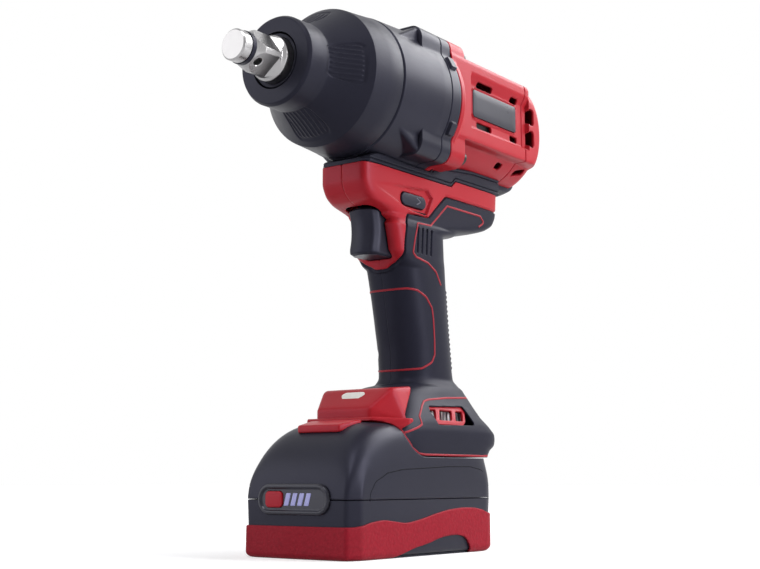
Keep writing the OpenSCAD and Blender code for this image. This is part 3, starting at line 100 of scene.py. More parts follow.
HUMP_Z = node_box("battery_top_case")[1][2]
DECK_Z = FOOT_Z - 0.5
TRIGGER_LOW, TRIGGER_HIGH = node_box("trigger")

# Directions that span the plane of a plate, and the value of a field where its opening is elsewhere
SIDE = ((0, 1, 0), (0, 0, 1))
FACE = ((1, 0, 0), (0, 0, 1))
FAR = 9.0

# Half of the seam between two shells
GAP = 0.15


# Array maths


def ease(value, low, high):
    """Smooth step from 0 at low to 1 at high."""
    t = np.clip((value - low) / (high - low), 0, 1)
    return t * t * (3 - 2 * t)


def hill(value, low, full, ebb, high):
    """Smooth hill: 0 up to low, 1 from full to ebb and 0 again from high."""
    return ease(value, low, full) * ease(-value, -high, -ebb)


def soft_min(a, b, blend):
    """Smaller of two fields, with their crossing rounded over the blend width."""
    h = np.clip(0.5 + 0.5 * (b - a) / blend, 0, 1)
    return b * (1 - h) + a * h - blend * h * (1 - h)


def soft_max(a, b, blend):
    """Larger of two fields, with their crossing rounded over the blend width."""
    return -soft_min(-a, -b, blend)


def spline(knots, values, where):
    """Monotone cubic through (knots, values): slopes are harmonic means of the neighbouring chords."""
    x, y, q = np.asarray(knots, float), np.asarray(values, float), np.asarray(where, float)
    chord = np.diff(y) / np.diff(x)
    slope = np.zeros_like(y)
    slope[0], slope[-1] = chord[0], chord[-1]
    same = chord[:-1] * chord[1:] > 0
    both = np.where(same, chord[:-1] + chord[1:], 1)
    slope[1:-1] = np.where(same, 2 * chord[:-1] * chord[1:] / both, 0)
    k = np.clip(np.searchsorted(x, q) - 1, 0, len(x) - 2)
    h = x[k + 1] - x[k]
    t = np.clip((q - x[k]) / h, 0, 1)
    return ((1 + 2 * t) * (1 - t) ** 2 * y[k] + t * (1 - t) ** 2 * h * slope[k]
            + t * t * (3 - 2 * t) * y[k + 1] + t * t * (t - 1) * h * slope[k + 1])


def full_turn(count):
    """Angles spaced evenly round a full turn."""
    return np.linspace(0, 2 * np.pi, count, endpoint=False)


def unit(vectors):
    """Vectors, one a row, scaled to length 1."""
    return vectors / np.linalg.norm(vectors, axis=1, keepdims=True)


def run_along(line):
    """Length run along a polyline up to each of its points."""
    return np.concatenate([[0], np.cumsum(np.linalg.norm(np.diff(line, axis=0), axis=1))])


def rounded(points, radii, closed=False, steps=8):
    """Polyline with rounded corners: a parabola touches both legs r * tan(turn / 2) from the corner."""
    points = np.asarray(points, float)
    radii = np.broadcast_to(radii, len(points))
    out = []
    for k, corner in enumerate(points):
        if not closed and k in (0, len(points) - 1):
            out.append(corner[None])
            continue
        back, ahead = points[k - 1] - corner, points[(k + 1) % len(points)] - corner
        lb, la = np.linalg.norm(back), np.linalg.norm(ahead)
        back, ahead = back / lb, ahead / la
        turn = math.pi - math.acos(float(np.clip(back @ ahead, -1, 1)))
        reach = min(radii[k] * math.tan(turn / 2), 0.48 * lb, 0.48 * la)
        if reach < 1e-6:
            out.append(corner[None])
            continue
        t = np.linspace(0, 1, steps)[:, None]
        start, end = corner + back * reach, corner + ahead * reach
        out.append((1 - t) ** 2 * start + 2 * t * (1 - t) * corner + t * t * end)
    return np.concatenate(out)


def resample(line, count, closed=False):
    """Points spaced evenly along a polyline."""
    line = np.asarray(line, float)
    if closed:
        line = np.concatenate([line, line[:1]])
    run = run_along(line)
    at = np.linspace(0, run[-1], count, endpoint=not closed)
    return np.stack([np.interp(at, run, line[:, k]) for k in range(line.shape[1])], 1)


def area_field(points, outline):
    """Signed distance to a closed outline in the plane, positive inside."""
    px, py = points[:, 0], points[:, 1]
    a, b = outline, np.roll(outline, -1, axis=0)
    best = np.full(len(points), np.inf)
    inside = np.zeros(len(points), bool)
    for (ax, ay), (bx, by) in zip(a, b):
        dx, dy = bx - ax, by - ay
        t = np.clip(((px - ax) * dx + (py - ay) * dy) / max(dx * dx + dy * dy, 1e-12), 0, 1)
        best = np.minimum(best, np.hypot(px - ax - t * dx, py - ay - t * dy))
        if dy:
            inside ^= ((ay > py) != (by > py)) & (px < dx * (py - ay) / dy + ax)
    return np.where(inside, best, -best)


# Meshes as (points, triangles)


def grid(points, wrap=False):
    """Triangles over a grid of points [rows, columns, 3]; wrap joins the last column to the first."""
    rows, columns = points.shape[:2]
    index = np.arange(rows * columns).reshape(rows, columns)
    if wrap:
        index = np.concatenate([index, index[:, :1]], 1)
    a, b, c, d = index[:-1, :-1], index[:-1, 1:], index[1:, 1:], index[1:, :-1]
    halves = [np.stack(corners, -1).reshape(-1, 3) for corners in ((a, b, c), (a, c, d))]
    return points.reshape(-1, 3), np.concatenate(halves)


def closed_loft(rings):
    """Solid through a stack of closed rings [rows, columns, 3], with a fan over each end."""
    points, triangles = grid(rings, wrap=True)
    rows, columns = rings.shape[:2]
    ends = []
    for row, turn in ((0, 1), (rows - 1, -1)):
        centre = len(points)
        points = np.concatenate([points, rings[row].mean(0)[None]])
        here = row * columns + np.arange(columns)
        fan = np.stack([np.full(columns, centre), np.roll(here, -1), here], 1)
        ends.append(fan[:, ::turn])
    return points, np.concatenate([triangles, *ends])


def join(*meshes):
    """One mesh out of several."""
    offset, points, triangles = 0, [], []
    for p, t in meshes:
        points.append(p)
        triangles.append(t + offset)
        offset += len(p)
    return np.concatenate(points), np.concatenate(triangles)


def flipped(mesh):
    """Mirror image of a mesh across x = 0."""
    points, triangles = mesh
    return points * [-1, 1, 1], triangles[:, ::-1]


def mirrored(mesh):
    """The mesh and its mirror image across x = 0."""
    return join(mesh, flipped(mesh))


def clip(mesh, field):
    """Part of a mesh where the field, one value a point, is above zero: crossed triangles are split."""
    points, triangles = mesh
    above = field[triangles] > 0
    count = above.sum(1)
    parts, fresh, total = [triangles[count == 3]], [points], len(points)
    for lone_inside in (True, False):
        chosen = count == (1 if lone_inside else 2)
        tri, side = triangles[chosen], above[chosen]
        lone = np.argmax(side if lone_inside else ~side, axis=1)
        row = np.arange(len(tri))
        a, b, c = tri[row, lone], tri[row, (lone + 1) % 3], tri[row, (lone + 2) % 3]
        cut_b = points[a] + (points[b] - points[a]) * (field[a] / (field[a] - field[b]))[:, None]
        cut_c = points[a] + (points[c] - points[a]) * (field[a] / (field[a] - field[c]))[:, None]
        at_b, at_c = total + row, total + len(tri) + row
        total += 2 * len(tri)
        fresh += [cut_b, cut_c]
        if lone_inside:
            parts.append(np.stack([a, at_b, at_c], 1))
        else:
            parts += [np.stack([at_b, b, c], 1), np.stack([at_b, c, at_c], 1)]
    return welded(np.concatenate(fresh), np.concatenate(parts))


def welded(points, triangles):
    """Mesh with equal points merged, and unused points and flat triangles dropped."""
    used, triangles = np.unique(triangles, return_inverse=True)
    points, triangles = points[used], triangles.reshape(-1, 3)
    _, first, same = np.unique(np.round(points, 3), axis=0, return_index=True, return_inverse=True)
    triangles = same.reshape(-1)[triangles]
    a, b, c = triangles.T
    return points[first], triangles[(a != b) & (b != c) & (c != a)]


def ends_of(mesh):
    """First, second and third corners of a mesh's triangles."""
    points, triangles = mesh
    return [points[triangles[:, k]] for k in range(3)]


def normals(mesh):
    """Unit normal at each point: the sum of its triangles' area vectors."""
    points, triangles = mesh
    a, b, c = ends_of(mesh)
    flat = np.cross(b - a, c - a)
    total = np.zeros_like(points)
    for k in range(3):
        np.add.at(total, triangles[:, k], flat)
    return total / np.maximum(np.linalg.norm(total, axis=1, keepdims=True), 1e-12)


def outward(mesh, centre):
    """The mesh with its triangles turned so that most of them face away from centre."""
    points, triangles = mesh
    a, b, c = ends_of(mesh)
    facing = (np.cross(b - a, c - a) * ((a + b + c) / 3 - centre)).sum()
    return points, triangles if facing > 0 else triangles[:, ::-1]


def plate(centre, plane, half, corner, thickness, edge, crown=0.0):
    """Rounded plate on the plane through centre: a stack of rounded rectangles whose upper rim is a
    quarter circle of radius edge, with a slight crown in the middle."""
    across, up = np.array(plane, float)
    normal = np.cross(across, up)
    turn = full_turn(96)
    arc = np.linspace(0, np.pi / 2, 6)
    inset = np.concatenate([[0, 0], edge * (1 - np.cos(arc[1:])), [min(half) * 0.6]])
    flat = thickness - edge
    height = np.concatenate([[0, flat], flat + edge * np.sin(arc[1:]), [thickness + crown]])
    rows = []
    for step, lift in zip(inset, height):
        r = max(corner - step, 0.05)
        x = np.sign(np.cos(turn)) * (half[0] - step - r) + r * np.cos(turn)
        y = np.sign(np.sin(turn)) * (half[1] - step - r) + r * np.sin(turn)
        rows.append(centre + x[:, None] * across + y[:, None] * up + lift * normal)
    return closed_loft(np.array(rows))


def ribbon(path, normal, width, height):
    """Low rounded strip carried along a path on a surface: a half ellipse of that width and height on
    a foot sunk into the surface."""
    sink = 0.25
    side = unit(np.cross(normal, unit(np.gradient(path, axis=0))))
    t = np.linspace(0, np.pi, 9)
    across = np.concatenate([[width / 2], width / 2 * np.cos(t), [-width / 2]])
    lift = np.concatenate([[-sink], height * np.sin(t), [-sink]])
    path, side, normal = path[:, None], side[:, None], normal[:, None]
    return closed_loft(path + side * across[:, None] + normal * lift[:, None])


def placed(name, data):
    """New object in the scene that shows the data."""
    piece = bpy.data.objects.new(name, data)
    bpy.context.scene.collection.objects.link(piece)
    return piece


def put(name, mesh, look, slot, *replaces, body="tool_body", wall=0.0, sharp=40):
    """Makes a smooth-shaded piece out of a mesh in millimetres, gives it its finish and wall, and hangs
    it on its body in the place of the solids that it replaces."""
    points, triangles = mesh
    data = bpy.data.meshes.new(name)
    data.from_pydata((points * MM).tolist(), [], triangles.tolist())
    data.validate()
    piece = placed(name, data)
    data.materials.append(finish(look))
    data.polygons.foreach_set("use_smooth", np.ones(len(data.polygons), bool))
    data.set_sharp_from_angle(angle=math.radians(sharp))
    if wall:
        solid = piece.modifiers.new("Wall", "SOLIDIFY")
        solid.thickness = wall * MM
        solid.offset = -1
        solid.use_even_offset = False
    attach(piece, body)
    if replaces:
        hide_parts(*replaces)


# Finishes


class Socket:
    """Output of a shader node; sums and products of sockets build Math nodes."""

    def __init__(self, paint, output):
        self.paint, self.output = paint, output

    def math(self, operation, first, second):
        """Math node over two numbers or sockets."""
        return self.paint.node("Math", {0: first, 1: second}, operation=operation)

    def __add__(self, other):
        return self.math("ADD", self, other)

    def __radd__(self, other):
        return self.math("ADD", other, self)

    def __sub__(self, other):
        return self.math("SUBTRACT", self, other)

    def __mul__(self, other):
        return self.math("MULTIPLY", self, other)


class Paint:
    """Node tree of a material or a world under construction."""

    def __init__(self, holder):
        holder.use_nodes = True
        self.holder, self.tree = holder, holder.node_tree
        self.tree.nodes.clear()

    def node(self, kind, values, output=0, **settings):
        """Adds a node, sets its settings and feeds its inputs with numbers or sockets."""
        made = self.tree.nodes.new("ShaderNode" + kind)
        for key, value in settings.items():
            setattr(made, key, value)
        for key, value in values.items():
            if isinstance(value, Socket):
                self.tree.links.new(value.output, made.inputs[key])
            else:
                made.inputs[key].default_value = value
        return Socket(self, made.outputs[output])

    def skin(self, **values):
        """Main shader with the given inputs; underscores stand for spaces."""
        return self.node("BsdfPrincipled", {key.replace("_", " "): value for key, value in values.items()})

    def done(self, shader):
        """Links the shader to the output and returns the material or world."""
        kind = "World" if isinstance(self.holder, bpy.types.World) else "Material"
        output = self.tree.nodes.new("ShaderNodeOutput" + kind)
        self.tree.links.new(shader.output, output.inputs["Surface"])
        return self.holder

    def place(self):
        """Place on the piece, in metres."""
        return self.node("TexCoord", {}, "Object")

    def noise(self, where, scale, detail):
        """Cloudy pattern about 0.5."""
        return self.node("TexNoise", {"Vector": where, "Scale": scale, "Detail": detail})

    def stretched(self, where, scale):
        """Place scaled by its own factor along each axis."""
        return self.node("Mapping", {"Vector": where, "Scale": scale})

    def blend(self, factor, first, second):
        """Colour between two colours."""
        return self.node("Mix", {0: factor, 6: first, 7: second}, 2, data_type="RGBA")

    def bump(self, height, strength, distance):
        """Normal of a surface raised by a pattern, with the distance in metres."""
        return self.node("Bump", {"Height": height, "Strength": strength, "Distance": distance})

    def seen(self):
        """1 for what the camera sees straight, in a reflection or through glass."""
        straight, glossy, through = (self.node("LightPath", {}, "Is %s Ray" % kind)
                                     for kind in ("Camera", "Glossy", "Transmission"))
        return straight.math("MAXIMUM", straight.math("MAXIMUM", straight, glossy), through)


def material(name):
    """Paint for a new material."""
    return Paint(bpy.data.materials.new(name))


def shade(colour, factor):
    """Colour made lighter or darker, with full alpha."""
    return tuple(min(1.0, c * factor) for c in colour[:3]) + (1.0,)


BLUISH = (0.72, 0.72, 1.0, 1.0)


def moulded(name, colour, roughness, grain=1400.0, depth=0.00003, spread=0.1, gloss=0.12, coat=0.0):
    """Moulded plastic or rubber: a fine grain in the bump, a slow mottle in colour and gloss."""
    paint = material(name)
    where = paint.place()
    slow = paint.noise(where, 38.0, 4.0)
    fine = paint.noise(where, grain, 3.0)
    scuff = paint.noise(paint.stretched(where, (1.0, 0.35, 1.0)), 420.0, 6.0)
    return paint.done(paint.skin(
        Base_Color=paint.blend(slow, shade(colour, 1 - spread), shade(colour, 1 + spread)),
        Roughness=roughness + (slow - 0.5) * 0.14 + (scuff - 0.5) * 0.1,
        Specular_IOR_Level=gloss, Specular_Tint=BLUISH, Coat_Weight=coat, Coat_Roughness=0.25,
        Normal=paint.bump(fine, 0.35, depth)))


def machined(name, colour, roughness, along=(1.0, 60.0, 1.0)):
    """Bare metal with fine turning lines along one direction and faint handling marks."""
    paint = material(name)
    where = paint.place()
    lines = paint.noise(paint.stretched(where, along), 180.0, 3.0)
    stain = paint.noise(where, 55.0, 5.0)
    return paint.done(paint.skin(
        Base_Color=paint.blend(stain, shade(colour, 0.86), shade(colour, 1.08)),
        Metallic=1.0,
        Roughness=roughness + (lines - 0.5) * 0.14 + (stain - 0.5) * 0.1,
        Normal=paint.bump(lines, 0.3, 0.000006)))


def crinkled(name, colour, roughness):
    """Rubbery skin with a leather-like crinkle: cells of about a millimetre over a finer grain."""
    paint = material(name)
    where = paint.place()
    slow = paint.noise(where, 45.0, 4.0)
    cells = paint.node("TexVoronoi", {"Vector": where, "Scale": 620.0}, feature="SMOOTH_F1")
    fine = paint.noise(where, 1500.0, 3.0)
    return paint.done(paint.skin(
        Base_Color=paint.blend(cells, shade(colour, 1.12), shade(colour, 0.82)),
        Roughness=roughness + (slow - 0.5) * 0.16, Specular_IOR_Level=0.1,
        Normal=paint.bump(cells + fine * 0.4, 0.6, 0.0003)))


def clear(name, colour, roughness):
    """Clear lens over a pale reflector, with a faint ripple."""
    paint = material(name)
    ripple = paint.noise(paint.place(), 260.0, 2.0)
    return paint.done(paint.skin(
        Base_Color=paint.blend(ripple, shade(colour, 0.9), shade(colour, 1.05)),
        Roughness=roughness + (ripple - 0.5) * 0.08, Coat_Weight=1.0, Coat_Roughness=0.05,
        Normal=paint.bump(ripple, 0.4, 0.0002)))


def glowing(name, colour, strength):
    """Lit bar: pale plastic with a soft glow."""
    paint = material(name)
    slow = paint.noise(paint.place(), 300.0, 2.0)
    return paint.done(paint.skin(
        Base_Color=paint.blend(slow, shade(colour, 0.85), shade(colour, 1.0)),
        Emission_Color=tuple(colour[:3]) + (1.0,), Emission_Strength=strength, Roughness=0.35))


FINISHES = {}


def finish(name):
    """Finish by name, made once from the chosen colours."""
    if name not in FINISHES:
        pick = bpy.context.scene.wrench_colours
        makers = {
            "red": lambda: moulded("Red shell", pick.red, 0.4, spread=0.07, gloss=0.16),
            "red_line": lambda: moulded("Red line", pick.line, 0.42, spread=0.08),
            "red_rubber": lambda: crinkled("Red bumper", pick.bumper, 0.55),
            "black": lambda: moulded("Black case", pick.black, 0.38, 1100.0, 0.00004, gloss=0.16),
            "rubber": lambda: moulded("Black boot", pick.rubber, 0.42, 1700.0, 0.00005, gloss=0.14),
            "soft": lambda: moulded("Soft grip", pick.soft, 0.42, 2100.0, 0.00006, gloss=0.09),
            "badge": lambda: moulded("Badge", pick.badge, 0.3, 2600.0, 0.00001, coat=0.3),
            "mark": lambda: moulded("Pale mark", (0.11, 0.11, 0.135), 0.5),
            # Near-black finish that paints the shade in the handle's seam, behind the rear vents and in
            # the battery label's groove
            "dark": lambda: moulded("Painted gap shade", shade(pick.black, 0.25), 0.7),
            "fin": lambda: moulded("Pale fin", (0.7, 0.7, 0.72), 0.45),
            "steel": lambda: machined("Polished steel", pick.steel, 0.3),
            "tool_steel": lambda: machined("Tool steel", shade(pick.steel, 0.55), 0.34),
            "screw": lambda: machined("Black screw", shade(pick.steel, 0.1), 0.38),
            "bronze": lambda: machined("Bronze", (0.5, 0.28, 0.1), 0.32),
            "copper": lambda: machined("Copper", (0.6, 0.22, 0.09), 0.3, (20.0, 1.0, 20.0)),
            "pale": lambda: machined("Bright fins", (0.82, 0.82, 0.84), 0.3, (30.0, 1.0, 1.0)),
            "board": lambda: moulded("Circuit board", (0.01, 0.1, 0.035), 0.4, 900.0, 0.00003, 0.3),
            "cell": lambda: moulded("Cell wrap", (0.03, 0.1, 0.3), 0.35, 700.0, 0.00001),
            "lead": lambda: moulded("Lead", (0.3, 0.012, 0.012), 0.45),
            "lens": lambda: clear("Lamp lens", pick.lens, 0.16),
            "glow": lambda: glowing("Gauge bar", pick.glow, 0.12),
        }
        FINISHES[name] = makers[name]()
    return FINISHES[name]


# Shapes of the head


def turned(profile, columns):
    """Surface of revolution about the drive axis: rows follow the profile of (y, r)."""
    profile = np.asarray(profile, float)
    a = full_turn(columns)
    y, r = profile[:, :1], profile[:, 1:]
    return np.stack([r * np.cos(a), y + 0 * a, AXIS_Z + r * np.sin(a)], -1)


def drawn_in(points, scale):
    """Points drawn towards the drive axis to a share of their radius."""
    x, y, z = np.moveaxis(points, -1, 0)
    return np.stack([x * scale, y, AXIS_Z + (z - AXIS_Z) * scale], -1)


def polar(ys, radius, columns):
    """Grid about the drive axis from a radius given as a function of angle and y."""
    y, a = np.meshgrid(ys, full_turn(columns), indexing="ij")
    r = radius(a, y)
    return np.stack([r * np.cos(a), y, AXIS_Z + r * np.sin(a)], -1)


def tube(grid_points, inner):
    """Closed ring-shaped solid: an outer grid about the drive axis, closed by an inner cylinder."""
    def inside(row):
        """The row's ring on the inner cylinder."""
        middle = [0, row[0, 1], AXIS_Z]
        return (unit(row - middle) * inner + middle)[None]
    rows = np.concatenate([inside(grid_points[0]), grid_points, inside(grid_points[-1])])
    middle = (0, grid_points[:, :, 1].mean(), AXIS_Z)
    return outward(grid(np.concatenate([rows, rows[:1]]), wrap=True), middle)


def clustered(start, *spans):
    """Rising values from start: each span (end, count) is evenly spaced, and the last end closes them."""
    ends = [start] + [end for end, _ in spans]
    parts = [np.linspace(a, b, n, endpoint=False) for a, (b, n) in zip(ends, spans)]
    return np.concatenate(parts + [ends[-1:]])


LUG_X, LUG_Z = 37.5, 41.0
CASE_BORE, CASE_COLUMNS = 43.0, 480


def wall_radius(distance, cosine, least=1e-3):
    """Distance along a ray to a flat wall, from the wall's distance and the cosine to its normal."""
    return distance / np.maximum(cosine, least)


def lug_radius(angle, side=LUG_X, reach=LUG_Z, blend=14.0):
    """Distance to the rounded corner of the lug block seen from the axis."""
    across = wall_radius(side, np.abs(np.cos(angle)))
    upward = wall_radius(reach, np.abs(np.sin(angle)))
    return soft_min(across, upward, blend)


# Half widths of the motor housing's flats and sunk badge field, heights of its ledge and shoulders,
# radius of the belly under them, and how far the shoulders reach onto the rear cover
FLAT_X, RECESS_X = 38.5, 35.3
LEDGE_Z, SHOULDER_Z = 22.5, 32.0
ARMOUR_R, BELLY_R = CASE_R - 0.8, 37.2
SHOULDER_REACH = 7.0


def armour_radius(angle, dome, drop=0.0):
    """Section of the motor housing: a dome with flat sides, cut off under a ledge, joined with square
    shoulders that the drop lets sink into it."""
    flat = wall_radius(FLAT_X, np.abs(np.cos(angle)))
    ledge = wall_radius(LEDGE_Z, -np.sin(angle))
    shoulder = soft_min(flat, wall_radius(SHOULDER_Z, np.sin(angle)), 6.0) - drop
    body = np.maximum(soft_min(dome, flat, 2.0), np.where(np.sin(angle) > 0, shoulder, 0))
    return soft_min(body, ledge, 2.2)


def badge_recess(body, angle, y):
    """The section with the badge field sunk into both sides, and the height above the axis: a flat floor
    under a slanted wall, open to the rear."""
    c, s = np.abs(np.cos(angle)), np.sin(angle)
    slope, slant_x = 0.5185, 26.28
    floor = wall_radius(RECESS_X, c, 0.2)
    slant = wall_radius(slant_x, c - slope * s, 0.2)
    sunk = np.minimum(body, np.maximum(floor, np.where(s > 0, slant, floor)))
    dz = sunk * s
    end = COVER_Y + SHOULDER_REACH - 1.5
    inside = ease(dz, -12.6, -11.6) * hill(y, MOTOR_Y + 22, MOTOR_Y + 23.4, end - 0.8, end)
    return body + (sunk - body) * inside, dz


def box_field(u, v, centre, half, corner):
    """Signed distance to a rounded rectangle, negative inside."""
    du = np.abs(u - centre[0]) - half[0] + corner
    dv = np.abs(v - centre[1]) - half[1] + corner
    return np.hypot(np.maximum(du, 0), np.maximum(dv, 0)) + np.minimum(np.maximum(du, dv), 0) - corner


def nose_boot_mesh(ribs, depth):
    """Rubber boot: neck, flare r = neck + rise * t^1.2 and shoulder turned about the axis, with ribbed
    panels sunk into the flare every quarter turn."""
    neck_r, neck_y, shoulder_y = 26.5, NOSE_Y + 17, NOSE_Y + 41
    shoulder_r = BOOT_R - 2.2
    t = np.linspace(0, 1, 64)
    flare = np.stack([neck_y + (shoulder_y - neck_y) * t, neck_r + (shoulder_r - neck_r) * t ** 1.2], 1)
    line = np.concatenate([
        [[NOSE_Y + 2.6, 16.8], [NOSE_Y, 16.8], [NOSE_Y, 23.6]],
        rounded([[NOSE_Y, 23.6], [NOSE_Y, 25.2], [NOSE_Y + 2.2, neck_r], [NOSE_Y + 4.5, neck_r]], 1.2),
        [[neck_y - 6, neck_r], [neck_y - 3, neck_r], [neck_y - 1.2, neck_r + 0.15]], flare[1:-1],
        rounded([flare[-2], [shoulder_y, shoulder_r], [shoulder_y + 2, shoulder_r + 0.18]], 3.0),
        [[SEAM_Y - 12, BOOT_R - 1.15], [SEAM_Y - 1, BOOT_R - 0.1], [SEAM_Y - 0.3, BOOT_R - 0.4],
         [SEAM_Y - GAP, BOOT_R - 2.4], [shoulder_y, shoulder_r - 2.6], [neck_y, neck_r - 2.6]]])
    columns = 640
    points = turned(line, columns)
    y = points[..., 1]
    angle = np.degrees(np.arctan2(points[..., 2] - AXIS_Z, points[..., 0]))
    turn = (angle + 45) % 90 - 45
    r = np.hypot(points[..., 0], points[..., 2] - AXIS_Z)
    across = np.radians(turn) * r
    low, high = neck_y - 1.0, shoulder_y - 3.5
    half = 9.5 + 4.6 * np.clip((y - low) / (high - low), 0, 1)
    area = box_field(across / half, (y - low) / (high - low), (0, 0.5), (1, 0.5), 0.28) * 11
    panel_width = 23.6
    pitch = panel_width / ribs
    rib = np.abs((across / pitch + ribs / 2) % 1 - 0.5) * pitch
    sunk = depth * ease(-area, 0.0, 0.6) * (1 - 0.8 * ease(-rib, -0.75, -0.3) * ease(-area, 0.8, 1.6))
    nose_rows, inner_rows = 8, 4
    sunk[:nose_rows] = 0
    sunk[-inner_rows:] = 0
    points = drawn_in(points, 1 - sunk / np.maximum(r, 1))
    return outward(grid(np.concatenate([points, points[:1]]), wrap=True), (0, SEAM_Y - 20, AXIS_Z))


def hammer_case_mesh():
    """Hammer case: a cone about the axis with four corner lugs that rise out of wedge ramps."""
    front_r, cone_y, block_y = BOOT_R + 0.3, SEAM_Y + 1.2, FLANGE_Y - 20.5
    ys = clustered(SEAM_Y + GAP, (SEAM_Y + 1.4, 5), (FLANGE_Y - 42, 6), (FLANGE_Y - 22, 50),
                   (block_y + 0.1, 6), (FLANGE_Y - 1, 20), (FLANGE_Y - GAP, 5))

    def radius(angle, y):
        """Distance from the drive axis."""
        rim = 0.6 * ease(y, FLANGE_Y - 0.7, FLANGE_Y)
        along = np.clip((y - cone_y) / (FLANGE_Y - 8 - cone_y), 0, 1)
        cone = front_r + (CASE_R - front_r) * along - 1.2 * ease(cone_y - y, 0, 1.2) - rim
        ramp_z = 29 + 0.52 * (y - FLANGE_Y + 41)
        ramp = lug_radius(angle, LUG_X - 3, ramp_z, 4.0) - 40 * (y > block_y)
        block = lug_radius(angle) - rim - 16 * ease(block_y - 0.1 - y, 0, 0.7)
        return soft_max(cone, np.maximum(ramp, block), 0.5)
    return tube(polar(ys, radius, CASE_COLUMNS), CASE_BORE)


def gear_plate_mesh():
    """Gear case plate: the case's section with rounded rims and four clip bumps at its sides."""
    ys = clustered(FLANGE_Y + GAP, (FLANGE_Y + 1, 5), (MOTOR_Y - 1, 26), (MOTOR_Y - GAP, 5))
    clip_angle, clip_y, clip_half = 27, (FLANGE_Y + MOTOR_Y) / 2, (4.6, 3.6)

    def radius(angle, y):
        """Distance from the drive axis."""
        rim = 0.6 * ease(FLANGE_Y + 0.85 - y, 0, 0.8) + 0.6 * ease(y, MOTOR_Y - 0.85, MOTOR_Y - 0.05)
        body = soft_max(CASE_R, lug_radius(angle), 0.8) - rim
        fold = np.degrees(np.arctan2(np.sin(angle), np.abs(np.cos(angle))))
        around = np.radians(np.abs(fold) - clip_angle) * CASE_R
        return body + 2.0 * ease(-box_field(around, y, (0, clip_y), clip_half, 1.5), 0, 0.8)
    return tube(polar(ys, radius, CASE_COLUMNS), CASE_BORE)


# Middle and half size, in y and in height above the axis, of the badge and of the slots round it
BADGE_AT, BADGE_HALF = ((MOTOR_Y + COVER_Y + 19) / 2, 5.0), ((COVER_Y - MOTOR_Y - 37) / 2, 9.0)
SLOTS = (((MOTOR_Y + 42, 18), (9.5, 1.9)), ((COVER_Y - 11, 18), (4.7, 1.9)),
         ((MOTOR_Y + 42, -8.8), (9.2, 2.2)), ((COVER_Y - 11, -8.8), (4.7, 2.2)))


def motor_housing_mesh():
    """Motor housing: collar, lugs and flat-sided section about the axis, with a sunk badge field on each
    side that a low frame runs round, and vent slots cut through."""
    lug_end = MOTOR_Y + 17
    ys = clustered(MOTOR_Y + GAP, (MOTOR_Y + 1, 4), (lug_end - 0.6, 26), (lug_end + 0.9, 8),
                   (COVER_Y - 1, 104), (COVER_Y - GAP, 5))
    low_y, low_slope = COVER_Y - 16, 0.05

    def radius(angle, y):
        """Distance from the drive axis."""
        section = soft_max(armour_radius(angle, ARMOUR_R), BELLY_R, 1.2)
        cone = CASE_R - 8.8 * np.clip((y - MOTOR_Y - 4) / 12, 0, 1)
        body = soft_max(section, cone, 1.0)
        lug = lug_radius(angle) - 40 * ease(y, lug_end - 0.9, lug_end + 0.3)
        body = np.where(y < lug_end + 0.3, soft_max(body, lug, 0.8), body)
        body, dz = badge_recess(body, angle, y)
        ridge = np.abs(box_field(y, dz, BADGE_AT, np.add(BADGE_HALF, 0.9), 3.4)) - 0.35
        body += 1.0 * ease(-ridge, -0.5, 0.35) * (np.abs(np.cos(angle)) > 0.75)
        return body - 0.7 * (ease(MOTOR_Y + 0.8 - y, 0, 0.8) + ease(y, COVER_Y - 0.9, COVER_Y - 0.1))
    columns = 330
    mesh = grid(polar(ys, radius, columns), wrap=True)
    x, y, dz = mesh[0][:, 0], mesh[0][:, 1], mesh[0][:, 2] - AXIS_Z
    hole = np.min([box_field(y, dz, at, half, 1.3) for at, half in SLOTS], axis=0)
    low = box_field(y, dz + low_slope * (y - low_y), (low_y, -27), (3.8, 1.9), 1.4)
    hole = np.where(np.abs(x) > 31, hole, np.where(np.abs(x) < 31, low, FAR))
    return outward(clip(mesh, np.minimum(hole, FAR)), (0, (MOTOR_Y + COVER_Y) / 2, AXIS_Z))


